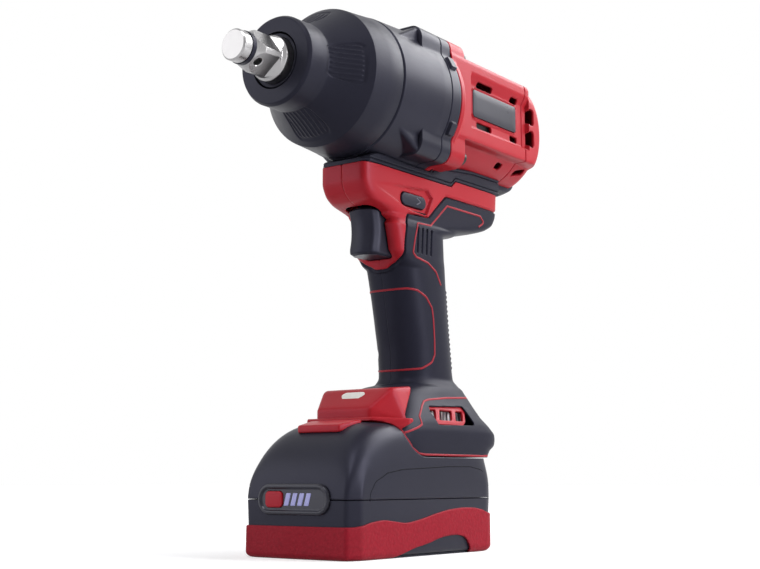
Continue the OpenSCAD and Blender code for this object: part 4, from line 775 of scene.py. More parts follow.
def rear_cover_mesh():
    """Rear cover: the housing's section bounded by two rounded domes, closed by a flat end, with the end
    of the shoulders, the end of the recess and vents."""
    columns, bend, drop_y = 400, 17, COVER_Y + SHOULDER_REACH - 1
    low_y, low_slope = COVER_Y + 10, 0.25
    a = np.linspace(0, np.pi / 2, 44)
    straight = clustered(COVER_Y + GAP, (COVER_Y + 1, 5), (COVER_Y + 4.5, 7), (REAR_Y - bend, 22))
    ys = np.concatenate([straight, REAR_Y - bend + bend * np.sin(a[1:])])

    def dome(y, r, rim):
        """Radius r that rounds off to the end along a quarter circle of radius rim."""
        over = np.clip((y - REAR_Y + rim) / rim, 0, 1)
        return r - rim + rim * np.sqrt(np.maximum(1 - over ** 2, 0))

    def radius(angle, y):
        """Distance from the drive axis."""
        drop = 0.6 * ease(y, COVER_Y + 4, drop_y) + 16 * ease(y, drop_y, drop_y + 1.6)
        outer = armour_radius(angle, dome(y, ARMOUR_R, 21.0), drop)
        body = soft_max(outer, dome(y, BELLY_R, 10.0), 1.0)
        return badge_recess(body, angle, y)[0] - 0.7 * ease(COVER_Y + 1 - y, 0, 0.9)
    rows = polar(ys, radius, columns)
    middle = np.array([0, REAR_Y, AXIS_Z])
    inner = np.array([middle + (rows[-1] - middle) * k for k in (0.97, 0.9, 0.7, 0.45, 0.2, 0.05)])
    points, triangles = grid(np.concatenate([rows, inner]), wrap=True)
    last = len(points) - columns + np.arange(columns)
    fan = np.stack([last, np.roll(last, -1), np.full(columns, len(points))], 1)
    points = np.concatenate([points, middle[None]])
    x, y, dz = points[:, 0], points[:, 1], points[:, 2] - AXIS_Z
    tall = np.min([box_field(y, dz, (COVER_Y + 8.2, at), (3.5, 6.0), 2.6) for at in (10.5, -5.0)], axis=0)
    low = box_field(y, dz - low_slope * (y - low_y), (low_y, -26.6), (5.4, 2.0), 1.8)
    tall, low = np.where(np.abs(x) > 27, tall, FAR), np.where((np.abs(x) > 12) & (dz < -15), low, FAR)
    hole = np.minimum(tall, low)
    return outward(clip((points, np.concatenate([triangles, fan])), hole), (0, COVER_Y, AXIS_Z))


def rear_strip_mesh():
    """Black strip under the rear dome: an outer and an inner arc of the dome's section, 28 mm wide."""
    start, stop, half = TAIL_Y + 0.5, REAR_Y - 3, 14.0

    def arc(r, rim):
        """Line of (y, r) along the cover's underside and round its end."""
        last = math.asin((stop - REAR_Y + rim) / rim)
        a = np.linspace(0, last, 24)
        bend = np.stack([REAR_Y - rim + rim * np.sin(a), r - rim + rim * np.cos(a)], 1)
        return resample(np.concatenate([[[start, r]], bend]), 48)
    x = half * np.sin(np.linspace(-np.pi / 2, np.pi / 2, 24))

    def sheet(line):
        """The line swung about the drive axis over the strip's width."""
        fall = np.sqrt(line[:, 1:] ** 2 - x ** 2)
        return np.stack([x + 0 * fall, line[:, :1] + 0 * fall, AXIS_Z - fall], -1)
    outer, inner = (40.4, 13.2), (37.4, 10.2)
    rings = np.concatenate([sheet(arc(*outer)), sheet(arc(*inner))[:, ::-1]], 1)
    return outward(closed_loft(rings), (0, COVER_Y, AXIS_Z))


STEP_Y = 58.0


def rail_rise(y):
    """Height by which the handle's rail steps up towards the rear."""
    return 4.4 * np.clip((y - STEP_Y) / 5, 0, 1)


def saddle_mesh(groove):
    """Rubber saddle: for each y a section whose foot follows the handle's rail, whose sides carry a
    groove, and whose top follows the head above it."""
    front = TOP_FRONT_Y + 0.4
    y = clustered(front, (TOP_FRONT_Y + 5, 12), (STEP_Y - 4, 60), (STEP_Y + 8, 20), (TAIL_Y - 1, 24),
                  (TAIL_Y, 4))[:, None]
    foot = RAIL_Z + 0.1 + rail_rise(y)
    brim = np.interp(y, [front, TOP_FRONT_Y + 10, STEP_Y - 3, STEP_Y + 4, TAIL_Y],
                     RAIL_Z + np.array([2.5, 6.7, 13.1, 13.7, 19.6]))
    half = 18.2 - 3.7 * (1 - np.clip((y - front) / 4, 0, 1)) - 0.8 * ease(y, TAIL_Y - 0.8, TAIL_Y)
    head = np.interp(y, [SEAM_Y, FLANGE_Y - 8, MOTOR_Y + 4.2, MOTOR_Y + 16.2],
                     [BOOT_R + 0.25, CASE_R + 0.2, CASE_R + 0.2, BELLY_R + 0.25])

    def ceiling(x):
        """Height of the saddle's top at x: its brim, or the head where that is lower."""
        return soft_min(brim, AXIS_Z - np.sqrt(head ** 2 - x ** 2), 0.8)

    def line(away):
        """Depth of a groove at a distance from its middle."""
        return groove * np.exp(-(away / 0.42) ** 2)
    x_top = half * np.linspace(1, -1, 30)
    top = ceiling(x_top * 0.985)
    edge = ceiling(half)
    side_z = foot + (edge - foot) * np.linspace(0, 1, 60)
    inset = 0.9 * (1 - ease(np.minimum(side_z - foot, edge - side_z), 0, 0.9)) + line(side_z - foot - 2.6)
    inset += line(edge - side_z - 2.4) * ease(edge - foot, 7.5, 9)
    side = np.stack([half - inset, y + 0 * side_z, side_z], -1)
    rings = [side, np.stack([x_top * 0.95, y + 0 * top, top], -1), (side * [-1, 1, 1])[:, ::-1]]
    return outward(closed_loft(np.concatenate(rings, 1)), (0, 40, RAIL_Z + 5))


def anvil_mesh():
    """Square drive: radius = min(turned profile, distance to the square), where the turned profile has
    the pilot, ring groove, lead cone and shank, and the flats run out against the shank."""
    hole = next(m for m in frame["record"]["mounts"] if m["name"] == "socket_pin_hole")
    turn = math.atan2(hole["axis"][2], hole["axis"][0])
    hole_y, hole_r, half = hole["pos_m"][1] / MM, 2.6, 9.525
    columns, end = 360, TIP_Y + 9.5
    line = np.concatenate([
        rounded([(TIP_Y, 0.01), (TIP_Y, 8.2), (TIP_Y + 0.9, 9.1), (TIP_Y + 6.4, 9.1)], 0.3),
        rounded([(TIP_Y + 6.4, 9.1), (TIP_Y + 6.6, 8.9), (TIP_Y + 6.6, 7.1), (end - 0.1, 7.1),
                 (end - 0.1, 9.3)], 0.25)[1:]])
    cone = np.stack([np.linspace(end, end + 5, 40), np.linspace(9.5, 12.0, 40)], 1)
    body = np.stack([np.linspace(end + 5.1, NOSE_Y - 9, 60), np.full(60, 12.0)], 1)
    out = np.linspace(0, 1, 40)
    shank = np.stack([NOSE_Y - 9 + 5.5 * out, 12 + 1.5 * ease(out, 0.35, 0.9)], 1)[1:]
    tail = [(NOSE_Y - 2, 13.5), (NOSE_Y + 6, 13.5), (NOSE_Y + 6, 0.01)]
    line = np.concatenate([line, cone, body, shank, tail])
    angle = full_turn(columns) - turn
    square = half / np.maximum(np.abs(np.cos(angle)), np.abs(np.sin(angle)))
    run_out = np.clip((line[:, :1] - NOSE_Y + 8.2) * 1.1, 0, 20)
    points = drawn_in(turned(line, columns), np.minimum(line[:, 1:], square + run_out) / line[:, 1:])
    mesh = outward(grid(points, wrap=True), (0, TIP_Y + 20, AXIS_Z))
    axis = np.array([math.cos(turn), 0, math.sin(turn)])
    across = np.array([-math.sin(turn), 0, math.cos(turn)])
    local = mesh[0] - [0, hole_y, AXIS_Z]
    away = np.hypot(local @ across, local[:, 1])
    rim = 0.35
    mesh = clip(mesh, np.where(np.abs(local @ axis) > 6, away - hole_r - rim, FAR))
    t = full_turn(72)
    spokes = np.cos(t)[:, None] * across + np.sin(t)[:, None] * np.array([0, 1.0, 0])
    w = np.array([-half, -half + 0.4, half - 0.4, half])[:, None, None]
    r = (np.array([rim, 0, 0, rim]) + hole_r)[:, None, None]
    middle = np.array([0, hole_y, AXIS_Z])
    points, triangles = outward(grid(middle + w * axis + r * spokes, wrap=True), middle)
    return join(mesh, (points, triangles[:, ::-1]))


# Shapes of the handle


UNDER_Z = RAIL_Z - 27.3
COLLAR_Z = FOOT_Z + 42.5
GRIP_LEAN = math.radians(8.6)
TOP_R, GRIP_R, GRIP_HALF = 18.5, 19.5, 28.0
TRIGGER_FRONT = TRIGGER_LOW[1] - 4.5


def grip_y(z):
    """Middle of the leaning grip at height z."""
    return 28 + (UNDER_Z - z) * math.tan(GRIP_LEAN)


def handle_levels():
    """Levels of the handle from the foot up: height, front, rear, half width and squareness."""
    waist = COLLAR_Z + 7
    rows = [(FOOT_Z - 8, -10, 74, FOOT_R, 9), (FOOT_Z - 1, -12, 74, FOOT_R, 9),
            (FOOT_Z + 4, -18, 77, FOOT_R, 9), (FOOT_Z + 8, -22, 83, FOOT_R, 9),
            (FOOT_Z + 14, -24, 85, FOOT_R - 0.2, 8), (FOOT_Z + 19, -20, 82, FOOT_R - 1.6, 7),
            (FOOT_Z + 26, -13, 76, FOOT_R - 5, 6), (COLLAR_Z - 6.5, -4, 74, GRIP_R + 7.5, 4.5),
            (COLLAR_Z - 2.5, 0, 74, GRIP_R + 5.5, 3.6), (COLLAR_Z, 6, 74, GRIP_R + 4, 3.2),
            (COLLAR_Z + 2.5, grip_y(COLLAR_Z) - GRIP_HALF - 1, grip_y(COLLAR_Z) + GRIP_HALF + 1,
             GRIP_R + 2, 2.6),
            (waist, grip_y(waist) - GRIP_HALF + 1, grip_y(waist) + GRIP_HALF - 1, GRIP_R, 2.4)]
    for t in np.arange(1, 7) / 6:
        z = waist + (UNDER_Z - 7 - waist) * t
        front, rear = grip_y(z) - GRIP_HALF + 3 * (1 - t) - 2 * t ** 4, grip_y(z) + GRIP_HALF - 2 * (1 - t)
        rows.append((z, front, rear, GRIP_R, 2.4 + t ** 3))
    rows += [(UNDER_Z - 3.5, grip_y(UNDER_Z) - GRIP_HALF - 3, TAIL_Y - 46, GRIP_R - 0.3, 3.2),
             (UNDER_Z - 1, grip_y(UNDER_Z) - GRIP_HALF - 8, TAIL_Y - 40, TOP_R, 3.6),
             (UNDER_Z + 0.8, TOP_FRONT_Y + 24, TAIL_Y - 31, TOP_R, 5),
             (UNDER_Z + 2.8, TOP_FRONT_Y + 18, TAIL_Y - 23, TOP_R, 7),
             (UNDER_Z + 6, TOP_FRONT_Y + 8, TAIL_Y - 13, TOP_R, 9),
             (UNDER_Z + 11, TOP_FRONT_Y + 2.4, TAIL_Y - 5, TOP_R, 11),
             (UNDER_Z + 18, TOP_FRONT_Y, TAIL_Y - 1.6, TOP_R, 12),
             (RAIL_Z + 8.4, TOP_FRONT_Y, TAIL_Y, TOP_R, 12)]
    return np.array(rows, float)


LEVELS = handle_levels()


def handle_level(z):
    """Front, rear, half width and squareness of the handle at height z; the front stands forward beside
    the trigger."""
    front, rear, half, n = (spline(LEVELS[:, 0], LEVELS[:, k], z) for k in (1, 2, 3, 4))
    slimmer = 0.9 * hill(z, COLLAR_Z, COLLAR_Z + 10, UNDER_Z - 4, UNDER_Z)
    beside = 4.6 * hill(z - UNDER_Z, -27, -21, -6, -2)
    return front + slimmer - beside, rear, half, n


def front_squareness(n, z):
    """Squareness of the handle's front half: fuller beside the trigger."""
    return n + 2.6 * hill(z - UNDER_Z, -31, -26, 0, 3)


def handle_point(angle, z):
    """Point on the +X side of the handle: a superellipse of squareness n at height z, where the angle
    runs from -90 degrees at the front to 90 degrees at the rear."""
    front, rear, half, n = handle_level(z)
    c, s = np.abs(np.cos(angle)), np.sin(angle)
    n = np.where(s < 0, front_squareness(n, z), n)
    y = (front + rear) / 2 + (rear - front) / 2 * np.sign(s) * np.abs(s) ** (2 / n)
    return np.stack([half * c ** (2 / n), y, z + 0 * s], -1)


def handle_angle(y, z):
    """Angle on the handle's side that belongs to a y at height z."""
    front, rear, _, n = handle_level(z)
    eta = np.clip((y - (front + rear) / 2) / ((rear - front) / 2), -1, 1)
    n = np.where(eta < 0, front_squareness(n, z), n)
    return np.arcsin(np.sign(eta) * np.abs(eta) ** (n / 2))


# Outlines in y and z: the soft grip's edge, the foot's window, the battery's bare label and the screws
SOFT_EDGE = rounded([(y, UNDER_Z + z) for y, z in (
    (135, 19.9), (79.6, 19.9), (51.3, 19.7), (32.1, 2.7), (9.5, 2.1), (7.4, -3.7), (6.2, -15),
    (6.2, -26.6), (6.8, -31.2), (5.9, -34.4), (3, -36.2), (-45, -36.2))] + [(-45, 30), (135, 30)],
    3.0, closed=True, steps=5)
WINDOW = rounded([(16, 75.7), (54.5, 76.6), (56.3, 78), (51.5, 88.6), (13.6, 87.2), (12.4, 84)], 1.4,
                 closed=True, steps=5)
LABEL = [(-56.8, 31.5), (-56.4, 36), (-51.5, 42.4), (-40, 47.2), (-26, 49.2), (20, 51.2), (44, 51.4),
         (57, 49.4), (63.4, 43), (64, 31.5)]
SCREWS = ((TOP_FRONT_Y + 11, RAIL_Z - 10.5), (TAIL_Y - 15, RAIL_Z - 12.7),
          (grip_y(UNDER_Z - 24) + 17, UNDER_Z - 24), (grip_y(COLLAR_Z + 22) - 17, COLLAR_Z + 22),
          (66, FOOT_Z + 20), (4, FOOT_Z + 33))


def handle_half():
    """+X half of the handle as a grid evenly spaced along both ways, with its grooves, back ridges, grip
    edge and button recess pressed in along the normals."""
    rows, columns = 340, 180
    z = np.linspace(FOOT_Z + 0.05, RAIL_Z + 5, 3000)
    run = run_along(np.column_stack([z, *handle_level(z)[:3]]))
    z = np.interp(np.linspace(0, run[-1], rows), run, z)
    points = handle_point(np.linspace(-np.pi / 2, np.pi / 2, 2400)[None, :], z[:, None])
    points[:, [0, -1], 0] = 0
    mesh = outward(grid(np.array([resample(ring, columns) for ring in points])), (0, 35, 140))
    points, triangles = mesh
    _, y, z = points.T
    plane, height = points[:, 1:], z - UNDER_Z
    recess = rounded([(-30, 15.6), (31.2, 20.6), (36.6, 15.7), (29.9, 3.6), (11.6, 4.3)], 1.0,
                     closed=True, steps=4)
    press = 2.0 * ease(area_field(plane - [0, UNDER_Z], recess), -0.3, 1.1) * ease(y, -26, 20)
    across = y - 16.2 - 0.07 * (height + 22)
    grooves = np.max([np.exp(-((across - at) / 0.7) ** 4) for at in (2.0, 6.8, 11.6, 16.4)], axis=0)
    press += 1.3 * grooves * hill(height, -22.2, -20.8, -6.1, -4.7)
    press += 1.1 * ease(-np.abs(area_field(plane, SOFT_EDGE)), -0.9, -0.2)
    ridges = 0.5 + 0.5 * np.cos(2 * np.pi * z / 3.0)
    back = hill(y - handle_level(z)[1], -7.5, -6.9, -2.2, -1.6)
    press -= 0.6 * ridges * back * hill(z, 112, 114, 162, 164)
    return points - normals(mesh) * press[:, None], triangles


def handle_gaps(points, left, seam):
    """Field that is negative in the openings of a handle half: trigger, window, button, rail, screws,
    seam, lamp nose and the battery's hump below it."""
    x, y, z = np.abs(points[:, 0]), points[:, 1], points[:, 2]
    rail = RAIL_Z - GAP + rail_rise(y) - z
    plan = box_field(x, y, (0, TRIGGER_FRONT + 29.2), (11.2, 30), 6.0)
    face = box_field(x, z, (0, UNDER_Z - 10.7), (11.2, 15.5), 3.0)
    trigger = np.where(y < 16, np.maximum(plan, face), FAR)
    window = np.where(x > 18, -area_field(points[:, 1:], WINDOW), FAR)
    button_at = node_middle("direction_button")[0][1:]
    button = np.where(x > 9, box_field(y, z, button_at, (13.5, 4.6), 4.5), FAR)
    lamp = np.where(z < COLLAR_Z, y - lamp_edge(z) - 0.3, FAR)
    field = np.min([rail, trigger, window, button, above_hump(y, z), lamp, x - seam], axis=0)
    if left:
        wells = np.min([np.hypot(y - sy, z - sz) - 3.7 for sy, sz in SCREWS], axis=0)
        field = np.minimum(field, np.where(x > 6, wells, FAR))
    return field


def stripe_mesh(points, width, height, bend):
    """Raised line on the handle's +X side through points (y, z) with rounded corners."""
    flat = resample(rounded(points, bend), 6000)
    flat = flat[flat[:, 0] > handle_level(flat[:, 1])[0] - 0.08]
    at = resample(handle_point(handle_angle(flat[:, 0], flat[:, 1]), flat[:, 1]), 320)
    rise, swing = 0.4, 1e-3
    limit = math.pi / 2 - swing
    angle = np.clip(handle_angle(at[:, 1], at[:, 2]), -limit, limit)
    up = handle_point(angle, at[:, 2] + rise) - handle_point(angle, at[:, 2] - rise)
    around = (handle_point(np.minimum(angle + swing, limit), at[:, 2])
              - handle_point(np.maximum(angle - swing, -limit), at[:, 2]))
    normal = unit(np.cross(around, up))
    return outward(ribbon(at, normal, width, height), at.mean(0) - normal.mean(0) * 5)


def stripes(width, height):
    """Every red line on the handle's +X side; those that start ahead of the grip run round its front."""
    grip = [(-10, 157), (14, 160), (20, 159.4), (27.5, 155.8), (33.4, 149.4), (34.9, 142), (36, 129.6),
            (36.2, 120.2), (33.6, 115.4), (26, 111.2), (0, 108)]
    hook = [(90, 210), (96.5, 213.9), (91.7, 217.6), (52.4, 217.8), (33.8, 201.9), (18.9, 201.4),
            (15.3, 190), (13.6, 181.9), (16.8, 179.5), (29.3, 177.4), (38.1, 172.8), (44, 165)]
    foot = [(64, 94.7), (36.9, 93.2), (16.5, 91.2), (11.5, 90), (7.2, 87.1), (-0.8, 80.3), (-1.4, 75.5),
            (-5.7, 73.8), (-18, 70.2)]
    base = [(-20, 73), (-18, 68.3), (-11.7, 61.4), (-6, 58.4), (0, 57.9), (62, 57.9), (69, 58.2)]
    bends = ((grip, 4), (hook, 1.5), (foot, 2), (base, 3))
    return join(*[stripe_mesh(points, width, height, bend) for points, bend in bends])


# Trigger and direction button


def trigger_mesh():
    """Trigger: plan outlines stacked in z, with a hollow front y = y0 + sag * (1 - (1.05 v)^2) and
    rounded ends, where v runs from -1 at the lower end to 1 at the upper."""
    low, high, count = TRIGGER_LOW[2], TRIGGER_HIGH[2] + 4, 140
    v = np.sin(np.linspace(-np.pi / 2, np.pi / 2, 48))
    z = (low + high) / 2 + (high - low) / 2 * v
    front = TRIGGER_FRONT + 2.6 * (1 - (v * 1.05) ** 2) * (v < 0.95) + 1.4 * ease(-v, 0.55, 1.0) ** 2
    shrink = 1.6 * ease(np.abs(v), 0.86, 1.0) ** 2
    rows = []
    for level, y0, less in zip(z, front, shrink):
        half = TRIGGER_HIGH[0] - less
        cheek = [(half, TRIGGER_HIGH[1]), (half, y0 + 7.5), (half - 2.2, y0 + 2.2 + less)]
        outline = rounded([(-x, y) for x, y in cheek] + [(0, y0 + less)] + cheek[::-1],
                          [0.5, 7, 2.6, 26, 2.6, 7, 0.5], closed=True, steps=7)
        rows.append(np.column_stack([resample(outline, count, closed=True), np.full(count, level)]))
    return outward(closed_loft(np.array(rows)), (0, 0, (low + high) / 2))


def button_mesh():
    """Direction button: a crossbar with a rounded pad at each end."""
    middle, half = node_middle("direction_button")
    end, thick = middle[0] + half[0], 3.2
    pad = plate((end - thick, *middle[1:]), SIDE, half[1:], half[2] * 0.95, thick, 1.0, 0.15)
    bar = plate((0, *middle[1:]), SIDE, half[1:] - [2, 0.8], 2.5, end - thick + 0.2, 0.3)
    return mirrored(join(pad, bar))


def arrow_mesh(width, height):
    """Two short raised lines that make an arrow on each end of the button."""
    middle, half = node_middle("direction_button")
    line = resample(rounded([(2.2, 2.2), (6.8, 0), (2.2, -2.2)], 0.6), 40)
    path = np.column_stack([np.full(len(line), middle[0] + half[0] + 0.1), middle[1:] + line])
    normal = np.tile([1.0, 0, 0], (len(line), 1))
    return mirrored(outward(ribbon(path, normal, width, height), path.mean(0) - [3, 0, 0]))


# Shapes of the foot and battery


def grille_mesh():
    """Vent grille: a sheet that follows the foot a little inside its surface, cut to a rounded outline
    with three rounded bays."""
    y, z = np.meshgrid(np.linspace(8, 60, 210), np.linspace(74, 91, 90), indexing="ij")
    points = handle_point(handle_angle(y, z), z) - [1.6, 0, 0]
    mesh = outward(grid(points), (0, 34, 82))
    middle_z, lean = 82.2, 0.7
    v = mesh[0][:, 2] - middle_z
    u = mesh[0][:, 1] - lean * v
    places = ((16.4, 3.4), (30, 6.8), (44.6, 4.2))
    bays = [box_field(u, v, (at, 0), (half, 3.3), 1.4) for at, half in places]
    return clip(mesh, np.min([-box_field(u, v, (31, 0), (20.0, 5.8), 3.4), *bays], axis=0))


def box_corners(low, high):
    """The eight corners of a box."""
    return [(x, y, z) for x in (low[0], high[0]) for y in (low[1], high[1]) for z in (low[2], high[2])]


def taken(piece):
    """Mesh of a helper piece with its modifiers, in millimetres; the helper is removed."""
    shape = piece.evaluated_get(bpy.context.evaluated_depsgraph_get()).to_mesh()
    shape.calc_loop_triangles()
    points = np.empty(len(shape.vertices) * 3)
    shape.vertices.foreach_get("co", points)
    triangles = np.empty(len(shape.loop_triangles) * 3, int)
    shape.loop_triangles.foreach_get("vertices", triangles)
    data = piece.data
    bpy.data.objects.remove(piece)
    bpy.data.meshes.remove(data)
    return points.reshape(-1, 3) / MM, triangles.reshape(-1, 3)


def finer(mesh, rounds):
    """Each triangle split into four at its edge middles, several times over."""
    for _ in range(rounds):
        a, b, c = ends_of(mesh)
        corners = np.concatenate([a, b, c, (a + b) / 2, (b + c) / 2, (c + a) / 2])
        n = len(a)
        k = np.arange(n)
        triangles = np.concatenate([np.stack([k + i * n, k + j * n, k + m * n], 1)
                                    for i, j, m in ((0, 3, 5), (3, 1, 4), (5, 4, 2), (3, 4, 5))])
        mesh = welded(corners, triangles)
    return mesh


def hull_mesh(corners, bevel):
    """Convex mesh round corner points with rounded edges."""
    shape = bmesh.new()
    for corner in corners:
        shape.verts.new(np.asarray(corner, float) * MM)
    bmesh.ops.convex_hull(shape, input=shape.verts)
    loose = [v for v in shape.verts if not v.link_faces]
    bmesh.ops.delete(shape, geom=loose, context="VERTS")
    bmesh.ops.dissolve_limit(shape, angle_limit=math.radians(1), verts=shape.verts, edges=shape.edges)
    bmesh.ops.recalc_face_normals(shape, faces=shape.faces)
    data = bpy.data.meshes.new("hull")
    shape.to_mesh(data)
    shape.free()
    piece = placed("hull", data)
    crease = math.radians(20)
    data.set_sharp_from_angle(angle=crease)
    rim = piece.modifiers.new("Rim", "BEVEL")
    rim.width, rim.segments = bevel * MM, 4
    rim.limit_method, rim.angle_limit = "ANGLE", crease
    rim.harden_normals = True
    return taken(piece)


def hump_top(y):
    """Height of the battery's upper side: a hump at the front that falls to the deck under the foot."""
    fall = HUMP_Z - np.array([0, 0, 1.2, 4.6, 9.2, 16.4])
    return spline([-90, -36, -27, -21, -18.4, -12, -6.5, -2, 90],
                  [*fall, DECK_Z + 0.8, DECK_Z, DECK_Z], y)


def above_hump(y, z):
    """Height of a point over the battery's hump and deck, less the gap that the foot leaves there."""
    return z - np.maximum(hump_top(y) + 0.7, FOOT_Z + 0.1)


def lamp_edge(z):
    """Line in y along which the red lamp nose meets the black foot at height z."""
    return np.interp(z, [70.6, 72.5, 77, 81.6, 94.3, 100], [-18.5, -19.7, -12.5, -12.6, -2.2, 1])


def battery_level(z):
    """Front, rear, half width and squareness of the battery's top case at height z."""
    q = np.arcsin(np.clip((z - SEAM_Z) / (HUMP_Z - SEAM_Z), 0, 1))
    p = 1 - np.cos(q)
    return (BATTERY_FRONT_Y + 39 * p ** 0.85, BATTERY_REAR_Y - 3 * p, BATTERY_R - 12 * p ** 1.3,
            16 - 13 * p ** 0.3)


def battery_inside(points):
    """Field about in millimetres, positive inside the battery's top case."""
    x, y, z = points.T
    front, rear, half, n = battery_level(z)
    rim = (np.abs(x) / half) ** n + (np.abs(y - (front + rear) / 2) / ((rear - front) / 2)) ** n
    return (1 - rim ** (1 / n)) * 30


def battery_top_mesh():
    """Top case: levels that turn from the base's outline into superellipses and whose front leans back
    along a quarter circle, cut off by the hump's upper line and closed by a deck."""
    q = np.linspace(0, np.pi / 2, 90)
    z = SEAM_Z + GAP + (HUMP_Z - SEAM_Z - GAP) * np.sin(q)
    front, rear, half, n = (v[:, None] for v in battery_level(z))
    dense = full_turn(6000)
    c, s = np.cos(dense), np.sin(dense)
    a, b = half, (rear - front) / 2
    smooth = ((np.abs(c) / a) ** n + (np.abs(s) / b) ** n) ** (-1 / n)
    middle = (BATTERY_FRONT_Y + BATTERY_REAR_Y) / 2
    plan = (outline_ring(0.0, 4000) - [0, middle]) / [BATTERY_R, middle - BATTERY_FRONT_Y]
    turn = np.arctan2(plan[:, 1], plan[:, 0])
    order = np.argsort(turn)
    heading = np.arctan2(s / b, c / a)
    reach = np.interp(heading, turn[order], np.hypot(*plan.T)[order], period=2 * np.pi)
    edged = reach / np.hypot(c / a, s / b)
    r = edged + (smooth - edged) * ease(z[:, None], SEAM_Z + 3, SEAM_Z + 22)
    rings = np.stack([r * c, (front + rear) / 2 + r * s, z[:, None] + 0 * c], -1)
    columns = 400
    rings = np.array([resample(ring, columns, closed=True) for ring in rings])
    wall = outward(grid(rings, wrap=True), (0, 0, 50))
    wall = clip(wall, hump_top(wall[0][:, 1]) - wall[0][:, 2])
    y = clustered(-60, (-38, 10), (0, 60), (BATTERY_REAR_Y + 2, 60))
    x = np.linspace(-BATTERY_R - 2, BATTERY_R + 2, 110)
    sheet = np.stack([x + 0 * y[:, None], y[:, None] + 0 * x, hump_top(y)[:, None] + 0 * x], -1)
    deck = outward(grid(sheet), (0, 0, 0))
    deck = clip(deck, battery_inside(deck[0]))
    return join(wall, deck)


def outline_ring(inset, count=420):
    """Plan outline of the battery's base, moved in by inset: a bowed front, a short facet at each front
    corner, straight sides and round rear corners."""
    a, b, c = BATTERY_R - inset, BATTERY_FRONT_Y + inset, BATTERY_REAR_Y - inset
    facet_x, facet_y = 4.1, 9.6
    x = np.linspace(facet_x - a, a - facet_x, 15)
    front = np.column_stack([x, b + 0.8 * (x / x[-1]) ** 2])
    ring = rounded([*front, (a, b + facet_y), (a, c), (-a, c), (-a, b + facet_y)],
                   [2.5] + [0] * 13 + [2.5, 5, 11, 11, 5], closed=True, steps=12)
    return resample(ring, count, closed=True)


def base_ring(inset, z):
    """Outline of the battery's base, moved in by inset, at height z."""
    ring = outline_ring(inset)
    return np.column_stack([ring, np.full(len(ring), z)])


def bumper_edge(y):
    """Top edge of the bumper round the base: a low swell behind the front corner, then a wave that rises
    to the rear and falls off at the end."""
    return spline([-100, -70, -64, -55, -44, -34, -23.5, -10, 6, 23, 36, 47, 56, 64, 90],
                  [18, 18, 18.6, 20.4, 21.3, 20.4, 19.4, 20.9, 23.9, 26.3, 27, 26.7, 25.4, 23.5, 22.5], y)


def arch_edge(y):
    """Lower edge of the bumper at its sides: an arch that swings up slowly and comes down round."""
    return spline([-36, -29, -18, -2, 14.4, 27, 35.7, 41, 43.4],
                  [0, 1.8, 4.6, 7.3, 10.5, 11.1, 9.7, 5.1, 0], y)


def battery_base_mesh():
    """Bottom case: the base outline stacked in z with a rounded lower edge."""
    top = SEAM_Z - GAP
    levels = ((4.0, 1.2), (2.4, 1.6), (1.2, 3.0), (0.8, 6), (0.0, SEAM_Z - 0.5), (0.5, top), (3, top))
    return outward(closed_loft(np.array([base_ring(*level) for level in levels])), (0, 0, 15))


def bumper_mesh(proud):
    """Bumper: a band round the base between its arched lower edge and its waved top, full at the middle
    and rounded at both edges. With it the flat plate that closes it underneath."""
    t = clustered(0, (0.25, 13), (0.95, 13), (1, 5))
    foot_round, lip_round, height = 3.6, 0.9, 20.0

    def quarter(away, r):
        """Inset of a rounded edge of radius r at a distance away from it."""
        return r - np.sqrt(r * r - np.clip(r - away, 0, r) ** 2)
    insets = quarter(t * height, foot_round) + quarter((1 - t) * height, lip_round) - proud
    rings = [outline_ring(inset) for inset in insets]
    rows = np.array([np.column_stack([ring, bumper_edge(ring[:, 1]) * k]) for ring, k in zip(rings, t)])
    mesh = outward(grid(rows, wrap=True), (0, 0, 10))
    x, y, z = mesh[0].T
    mesh = clip(mesh, z - np.where(np.abs(x) > BATTERY_R - 5, arch_edge(y), 0) + 0.02)
    return mesh, closed_loft(np.array([base_ring(3.4, z) for z in (0.0, 1.0)]))


def latch_mesh():
    """Latch: a low wedge whose plan narrows to the front, with rounded edges."""
    low, high = node_box("battery_latch")
    fall, thick = 3.4, 4.4
    back, front = (high[1], high[2]), (low[1], high[2] - fall)
    top = [(-19, *back), (19, *back), (15.5, *front), (-15.5, *front)]
    return hull_mesh(top + [(x, y, z - thick) for x, y, z in top], 1.1)


def gauge_mesh():
    """Gauge pad on the battery's front: a sheet cut to a stadium with a raised rim, and an opening
    for its button."""
    middle, half = (v[::2] for v in node_middle("gauge_panel"))
    at, size = (v[::2] for v in node_middle("gauge_button"))
    low, high, rim = middle - half - 2.5, middle + half + 2.5, 1.4

    def inside(x, z):
        """Depth inside the stadium."""
        return -box_field(x, z, middle, half + [1.6, 1.2], half[1] + 1.0)
    x, z = np.meshgrid(np.linspace(low[0], high[0], 220), np.linspace(low[1], high[1], 90), indexing="ij")
    depth = inside(x, z)
    edge = np.clip(1 - depth / rim, 0, 1)
    rise = 2.2 * np.sqrt(1 - edge ** 2) - 1.1 * ease(depth, 1.8, 3.2)
    mesh = outward(grid(np.stack([x, BATTERY_FRONT_Y + 0.7 - rise, z], -1)), (middle[0], 0, middle[1]))
    x, _, z = mesh[0].T
    return clip(mesh, np.minimum(inside(x, z) - 0.02, box_field(x, z, at, size + 0.25, 2.8)))


